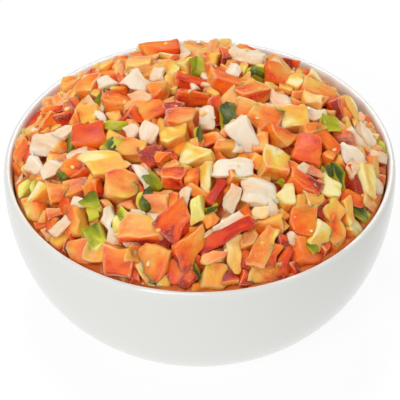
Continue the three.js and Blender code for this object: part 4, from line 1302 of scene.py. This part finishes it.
    def keep_in_bowl(
        self, world: np.ndarray, radii: np.ndarray, spots: np.ndarray, inertia: np.ndarray,
        push: np.ndarray, twist: np.ndarray, touches: np.ndarray,
    ) -> None:
        """Keeps each ball off the bowl's wall.

        Args:
            world: The balls' middles, by piece.
            radii: Their radii.
            spots: The pieces' middles.
            inertia: The squares of their arms of inertia.
            push: The pieces' moves, which this adds to.
            twist: Their turns, which this adds to.
            touches: Their counts of touches, which this adds to.
        """
        across = np.hypot(world[..., 0], world[..., 1])
        limit = self.wall_limit(world[..., 2]) - radii
        over = across - limit
        who, ball = np.nonzero(over > 0)
        inward = -world[who, ball] / across[who, ball][:, None]
        inward[:, 2] = 0.0
        arm = world[who, ball] - spots[who]
        turning = np.cross(arm, inward)
        shift = over[who, ball] / (1 + (turning ** 2).sum(axis=1) / inertia[who])
        np.add.at(push, who, inward * shift[:, None])
        np.add.at(twist, who, turning * (shift / inertia[who])[:, None])
        np.add.at(touches, who, 1)

    def wall_limit(self, heights: np.ndarray) -> np.ndarray:
        """How far out a surface may reach at heights in metres: clear of the wall and of the lip."""
        over = heights > self.form.bowl.rim_height * MM - self.lip_room
        return self.form.bowl.inner_radius(heights) - np.where(over, self.lip_room, self.wall_gap)

    def held_in(self, spots: np.ndarray, sizes: np.ndarray) -> np.ndarray:
        """Brings middles that lie too near the wall back inside.

        Args:
            spots: The pieces' middles.
            sizes: The pieces' least half sizes.

        Returns:
            The middles, each inside the bowl.
        """
        across = np.hypot(spots[:, 0], spots[:, 1])
        limit = self.wall_limit(spots[:, 2]) - sizes
        share = np.minimum(1.0, limit / np.maximum(across, self.least))
        return spots * np.stack([share, share, np.ones_like(share)], axis=1)

    def turned(self, turns: np.ndarray, twist: np.ndarray) -> np.ndarray:
        """Turns each piece a little.

        Args:
            turns: The pieces' rotation matrices.
            twist: Their small rotation vectors.

        Returns:
            The new matrices.
        """
        skew = np.zeros((len(twist), 3, 3))
        skew[:, 0, 1], skew[:, 0, 2], skew[:, 1, 2] = -twist[:, 2], twist[:, 1], -twist[:, 0]
        skew[:, 1, 0], skew[:, 2, 0], skew[:, 2, 1] = twist[:, 2], -twist[:, 1], twist[:, 0]
        return turns + skew @ turns

    def squared(self, turns: np.ndarray) -> np.ndarray:
        """The nearest true rotations to matrices that have drifted."""
        left, _, right = np.linalg.svd(turns)
        return left @ right


@dataclass(frozen=True)
class Layer:
    """A layer of pieces that no row names, all at one depth under the level of the heap, in metres."""

    depth: float
    scale: float          # the pieces' size against that of ordinary ones
    tries: int            # how many random places are tried
    inner: float = 0.0    # the share of the bowl's radius within which none are tried


LAYERS = (
    Layer(4.0 * MM, 1.0, 5000),
    Layer(2.8 * MM, 0.65, 5000),
    Layer(1.5 * MM, 0.65, 3000, inner=0.86),
    Layer(5.0 * MM, 0.7, 3000, inner=0.86),
    Layer(8.0 * MM, 0.9, 5000),
    Layer(13.0 * MM, 1.05, 4000),
)


@dataclass
class Heap:
    """The loose pieces, with a few loose seeds on them."""

    form: HeapForm
    view: PhotoView
    seed: int = 5203
    pieces: list[CutPiece] = field(default_factory=list)
    sunk: float = 0.42               # how much of its thickness a piece that is named lies under the level
    room: float = 3.1 * MM           # the room that a piece between others needs round its middle
    closeness: float = 0.92          # and the share of its neighbours' breadth that it keeps clear of
    edge_room: float = 3.6           # how far from the wall an ordinary piece's middle stays, in millimetres
    most_lean: float = 0.9
    tone_spread: float = 0.06
    crest: float = 0.1               # a slope that faces the camera less than this lies behind the crest
    skin_chance: float = 0.15        # how many of the tomato pieces that no row names have each look
    grain_chance: float = 0.3
    sheen_chance: float = 0.3
    sheen_and_rim: float = 0.5                # how strong the painted sheen on such a piece is
    chilli_skin_chance: float = 0.7
    wall_film: float = 0.4 * MM      # the juice between the pieces and the wall
    seed_size: tuple[tuple[float, float], ...] = ((2.2, 3.0), (1.6, 2.1), (0.9, 1.2))
    seed_sink: float = 0.2           # how much of its thickness a seed sinks into what it fell on
    seed_margin: float = 2 * MM
    most_seed_tone: float = 0.4
    drop_height: float = 150 * MM

    def __post_init__(self) -> None:
        """Starts the stream of random numbers."""
        self.random = random.Random(self.seed)

    def wall(self) -> float:
        """The radius within which the heap lies."""
        return (self.form.bowl.rim_radius - self.form.bowl.lip_wall) * MM

    def lay_seen(self) -> None:
        """Lays the pieces that stand out where the photograph shows them."""
        for kind, rows in SEEN.items():
            cut = CUTS[kind]
            for row in rows:
                size = Vector((row.length, row.width, row.thick)) * cut.trim * MM
                size.z *= cut.thinness
                depth = self.sunk * size.z - row.lift * MM
                spot = self.form.seen_at(self.view, row.px, row.py, depth)
                outward = self.form.outward(spot.x, spot.y)
                normal = outward.lerp(self.view.towards_camera(), row.face * cut.facing).normalized()
                tilt = Vector(self.random.gauss(0, cut.tilt) for _ in range(3))
                turn = self.picture_turn((normal + tilt).normalized(), row.turn)
                self.pieces.append(CutPiece(
                    kind, size, spot, turn, row.tone, row.form, row.skin, row.grain, row.pale,
                    seen=True, cuts=cut.net))

    def picture_turn(self, normal: Vector, degrees: float) -> Quaternion:
        """The turn of a piece whose broad side faces one way and whose length runs one way in the picture.

        Args:
            normal: The way that the broad side faces.
            degrees: The way of its length in the picture, anticlockwise from the right.

        Returns:
            The piece's turn.
        """
        right, up = self.view.axes()
        angle = math.radians(degrees)
        wanted = right * math.cos(angle) + up * math.sin(angle)
        along = (wanted - normal * wanted.dot(normal)).normalized()
        return Matrix((along, normal.cross(along), normal)).transposed().to_quaternion()

    def finish_look(self, piece: CutPiece) -> None:
        """Draws the look of a piece that no row names: its form, skin, grain and painted sheen.

        Args:
            piece: The piece, whose look is changed.
        """
        draw = self.random.random
        piece.form = self.random.choice((Form.BLOCK, Form.BLOCK, Form.WEDGE, Form.ROUND))
        if piece.kind is Kind.TOMATO:
            piece.skin = float(draw() < self.skin_chance)
            piece.grain = float(draw() < self.grain_chance)
            piece.pale = self.sheen_and_rim * float(draw() < self.sheen_chance)
        elif piece.kind is Kind.CHILLI:
            piece.skin = float(draw() < self.chilli_skin_chance)

    def drawn_kind(self, x: float, y: float) -> Kind:
        """Draws a kind by its share of the heap, behind the crest or before it.

        Args:
            x: Place to the right in metres.
            y: Place to the back in metres.

        Returns:
            The kind.
        """
        kinds = list(CUTS)
        shares = [CUTS[kind].share for kind in kinds]
        if self.form.outward(x, y).dot(self.view.towards_camera()) < self.crest:
            shares = [CUTS[kind].hidden_share for kind in kinds]
        return self.random.choices(kinds, shares)[0]

    def drawn_piece(self, x: float, y: float, depth: float, scale: float) -> CutPiece:
        """A piece of a drawn kind, size and turn under a place in plan.

        Args:
            x: Place to the right in metres.
            y: Place to the back in metres.
            depth: How far its middle is under the level of the heap, in metres.
            scale: Its size against that of an ordinary piece.

        Returns:
            The piece.
        """
        kind = self.drawn_kind(x, y)
        cut = CUTS[kind]
        size = Vector(self.random.uniform(*span) for span in (cut.length, cut.width, cut.thick))
        spot = Vector((x, y, self.form.level(x, y) - depth))
        on_slope = UP.rotation_difference(self.form.outward(x, y))
        spin = Quaternion(UP, self.random.uniform(0, 2 * math.pi))
        bearing = self.random.uniform(0, 2 * math.pi)
        lean = Quaternion(
            (math.cos(bearing), math.sin(bearing), 0.0), self.random.uniform(0, self.most_lean))
        tone = self.random.choice(TONES[kind]) + self.random.uniform(-self.tone_spread, self.tone_spread)
        piece = CutPiece(kind, size * scale * MM, spot, on_slope @ lean @ spin, min(max(tone, 0.0), 1.0))
        self.finish_look(piece)
        return piece

    def fill(self, layer: Layer) -> None:
        """Scatters a layer of pieces between those that already lie there.

        Args:
            layer: How deep and how large they are.
        """
        wall = self.wall() - self.edge_room * layer.scale * MM
        room = self.room * min(layer.scale, 1.0)
        taken = [(piece.spot, piece.reach()) for piece in self.pieces]
        for _ in range(layer.tries):
            reach = wall * math.sqrt(self.random.uniform(layer.inner * layer.inner, 1.0))
            bearing = self.random.uniform(0, 2 * math.pi)
            x, y = reach * math.cos(bearing), reach * math.sin(bearing)
            spot = Vector((x, y, self.form.level(x, y) - layer.depth))
            if all((spot - other).length > room + self.closeness * breadth for other, breadth in taken):
                piece = self.drawn_piece(x, y, layer.depth, layer.scale)
                self.pieces.append(piece)
                taken.append((spot, piece.reach()))

    def build_pieces(self, cutter: Cutter, seeds: int) -> dict[Kind, bpy.types.Object]:
        """Cuts all pieces and the loose seeds on them, each kind into one object.

        Args:
            cutter: What cuts them.
            seeds: How many loose seeds lie on the pieces.

        Returns:
            The object of each kind.
        """
        meshes = {}
        for kind in Kind:
            meshes[kind] = bmesh.new()
            self.join(meshes[kind], [piece for piece in self.pieces if piece.kind is kind], cutter)
        every = bmesh.new()
        scratch = bpy.data.meshes.new("scratch")
        for bm in meshes.values():
            bm.to_mesh(scratch)
            every.from_mesh(scratch)
        bpy.data.meshes.remove(scratch)
        fallen = self.drop_seeds(BVHTree.FromBMesh(every), seeds)
        every.free()
        built = {}
        for kind, bm in meshes.items():
            self.join(bm, [piece for piece in fallen if piece.kind is kind], cutter)
            self.press_in(bm)
            bmesh.ops.recalc_face_normals(bm, faces=bm.faces)
            built[kind] = piece_from(bm, kind.value)
            built[kind].data.materials.append(FINISHES[kind].material())
        return built

    def join(self, joined: bmesh.types.BMesh, pieces: list[CutPiece], cutter: Cutter) -> None:
        """Cuts pieces into a mesh.

        Args:
            joined: The mesh that takes them.
            pieces: The pieces.
            cutter: What cuts them.
        """
        if LOOK not in joined.verts.layers.float_color:
            joined.verts.layers.float_color.new(LOOK)
            joined.verts.layers.float_vector.new(PLACE)
        scratch = bpy.data.meshes.new("scratch")
        for piece in pieces:
            bm = cutter.cut(piece)
            bm.to_mesh(scratch)
            bm.free()
            joined.from_mesh(scratch)
        bpy.data.meshes.remove(scratch)

    def press_in(self, bm: bmesh.types.BMesh) -> None:
        """Presses what reaches into the bowl's wall or over its lip back inside.

        Args:
            bm: The mesh of a kind's pieces.
        """
        heights = np.array([vert.co.z for vert in bm.verts])
        for vert, limit in zip(bm.verts, self.form.bowl.inner_radius(heights) - self.wall_film):
            across = math.hypot(vert.co.x, vert.co.y)
            if across > limit:
                vert.co.x *= limit / across
                vert.co.y *= limit / across

    def drop_seeds(self, tree: BVHTree, count: int) -> list[CutPiece]:
        """Drops loose seeds on to the pieces.

        Args:
            tree: The surface of all pieces.
            count: How many seeds.

        Returns:
            The seeds, each partly sunk into what it fell on.
        """
        seeds = []
        wall = self.wall() - self.seed_margin
        while len(seeds) < count:
            reach = wall * math.sqrt(self.random.random())
            bearing = self.random.uniform(0, 2 * math.pi)
            start = Vector((reach * math.cos(bearing), reach * math.sin(bearing), self.drop_height))
            spot, normal, _, _ = tree.ray_cast(start, -UP)
            if spot is None:
                continue
            size = Vector(self.random.uniform(*span) for span in self.seed_size) * MM
            spin = Quaternion(UP, self.random.uniform(0, 2 * math.pi))
            turn = UP.rotation_difference(normal) @ spin
            tone = self.random.uniform(0.0, self.most_seed_tone)
            seeds.append(CutPiece(
                Kind.PULP, size, spot - normal * self.seed_sink * size.z, turn, tone, Form.SEED))
        return seeds


@dataclass(frozen=True)
class JuiceBed:
    """The bed of juice and fine pulp under the loose pieces, in metres except where a line says otherwise."""

    form: HeapForm
    depth: float = 7 * MM            # how far it lies under the level of the pieces
    edge_depth: float = 3.2 * MM     # and next to the wall, where it fills the ring round the pieces
    wall_gap: float = 0.4            # millimetres between it and the wall
    wall_top: float = 0.12           # the angle of the wall's section up to which it follows the wall
    wall_steps: int = 24
    top_steps: int = 30
    edge_steps: int = 5              # of the steps of its top, those that come down from the edge
    turn_steps: int = 96
    waves_above: float = 66 * MM
    wave: float = 6 * MM
    wave_height: float = 3.0 * MM
    calm_edge: float = 6 * MM        # the breadth of the edge over which the waves die out
    look: tuple[float, float, float, float] = (0.5, 0.0, 1.0, 0.0)

    def profile(self) -> list[tuple[float, float]]:
        """The section from the floor along the wall and over the top to the axis.

        Returns:
            The points as radius and height.
        """
        bowl = self.form.bowl
        points = []
        for step in range(self.wall_steps + 1):
            angle = math.pi / 2 - (math.pi / 2 - self.wall_top) * step / self.wall_steps
            radius, height = bowl.wall_point(angle, bowl.thickness(angle) + self.wall_gap)
            points.append((radius * MM, height * MM))
        edge = points[-1][0]
        side = self.form.level(edge, 0.0) - self.edge_depth
        points.append((edge, side))
        for step in range(1, self.top_steps + 1):
            radius = edge * (1 - step / self.top_steps)
            share = min(step / self.edge_steps, 1.0)
            points.append((radius, side + (self.form.level(radius, 0.0) - self.depth - side) * share))
        return points

    def build(self) -> bpy.types.Object:
        """Turns the section round the axis and lets the top follow the heap in soft waves.

        Returns:
            The bed.
        """
        points = self.profile()
        edge = points[self.wall_steps][0]
        bm = bmesh.new()
        verts = [bm.verts.new((radius, 0.0, height)) for radius, height in points]
        edges = [bm.edges.new(pair) for pair in zip(verts, verts[1:])]
        bmesh.ops.spin(
            bm, geom=verts + edges, cent=(0, 0, 0), axis=UP, angle=2 * math.pi,
            steps=self.turn_steps, use_merge=True)
        bmesh.ops.remove_doubles(bm, verts=bm.verts, dist=MERGED)
        bmesh.ops.recalc_face_normals(bm, faces=bm.faces)
        look = bm.verts.layers.float_color.new(LOOK)
        place = bm.verts.layers.float_vector.new(PLACE)
        for vert in bm.verts:
            vert[look] = self.look
            vert[place] = vert.co
            out = math.hypot(vert.co.x, vert.co.y)
            if vert.co.z > self.waves_above:
                back = self.form.level(vert.co.x, vert.co.y) - self.form.level(out, 0.0)
                unevenness = self.wave_height * min((edge - out) / self.calm_edge, 1.0)
                vert.co.z += back + unevenness * noise.noise(vert.co / self.wave)
        built = piece_from(bm, "juice_and_fine_pulp")
        built.data.materials.append(JUICE_FINISH.material())
        return built


# ---------------------------------------------------------------- the studio


@dataclass(frozen=True)
class SoftLight:
    """A square soft light that points at the middle of the bowl, in metres and watts."""

    name: str
    place: tuple[float, float, float]
    size: float
    power: float
    aim_height: float = 0.07

    def add(self) -> None:
        """Adds the light to the scene."""
        data = bpy.data.lights.new(self.name, "AREA")
        data.size = self.size
        data.energy = self.power
        light = bpy.data.objects.new(self.name, data)
        light.location = self.place
        aim = Vector((0, 0, self.aim_height)) - Vector(self.place)
        light.rotation_euler = aim.to_track_quat("-Z", "Y").to_euler()
        bpy.context.scene.collection.objects.link(light)


@dataclass(frozen=True)
class Studio:
    """A white table under soft light."""

    table_size: float = 6.0
    table_white: str = "5a5a5a"
    table_glow: float = 8.8         # so that the background is as white as the photograph's
    table_roughness: float = 0.9
    sky: float = 0.48
    lights: tuple[SoftLight, ...] = (
        SoftLight("top", (-0.1, 0.05, 1.15), 0.16, 2.8),
        SoftLight("front", (-0.38, -0.8, 0.84), 0.22, 4.5),
        SoftLight("back", (0.1, 0.95, 1.05), 0.25, 3.2),
    )

    def table_paper(self) -> bpy.types.Material:
        """Matt white paper that glows and reflects nothing.

        Returns:
            The material.
        """
        material, shader = new_material("matt_white_paper")
        shader.inputs["Base Color"].default_value = linear(self.table_white)
        shader.inputs["Roughness"].default_value = self.table_roughness
        shader.inputs["Specular IOR Level"].default_value = 0.0
        shader.inputs["Emission Color"].default_value = linear(self.table_white)
        shader.inputs["Emission Strength"].default_value = self.table_glow
        return material

    def build(self) -> None:
        """Adds the table, the lights and the soft surround."""
        bm = bmesh.new()
        bmesh.ops.create_grid(bm, x_segments=1, y_segments=1, size=self.table_size / 2)
        table = piece_from(bm, "table")
        table.data.materials.append(self.table_paper())
        for light in self.lights:
            light.add()
        world = bpy.data.worlds.new("soft_white_surround")
        world.use_nodes = True
        background = world.node_tree.nodes["Background"]
        background.inputs["Color"].default_value = (1.0, 1.0, 1.0, 1.0)
        background.inputs["Strength"].default_value = self.sky
        bpy.context.scene.world = world
        bpy.context.scene.view_settings.view_transform = "Standard"


# ---------------------------------------------------------------- all together


def stand_for(piece: bpy.types.Object, node: str) -> None:
    """Lets a piece ride on the body and stand for a node, whose own part it hides, and reports it.

    Args:
        piece: The piece.
        node: The node that it stands for.
    """
    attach(piece, "root")
    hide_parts(node)
    LOG.info("%s: %d faces", piece.name, len(piece.data.polygons))


def main() -> None:
    """Builds the bowl, the heap and the studio."""
    logging.basicConfig(level=logging.INFO, format="%(message)s")
    view = PhotoView()
    view.make_camera()
    bowl = Bowl()
    stand_for(bowl.build(), BOWL_NODE)
    form = HeapForm(bowl)
    heap = Heap(form, view)
    heap.lay_seen()
    for layer in LAYERS:
        heap.fill(layer)
    LOG.info("%d pieces", len(heap.pieces))
    Settling(form).run(heap.pieces)
    for piece in heap.build_pieces(Cutter(seed=7), seeds=50).values():
        stand_for(piece, HEAP_NODE)
    stand_for(JuiceBed(form).build(), HEAP_NODE)
    Studio().build()


if __name__ == "__main__":
    main()
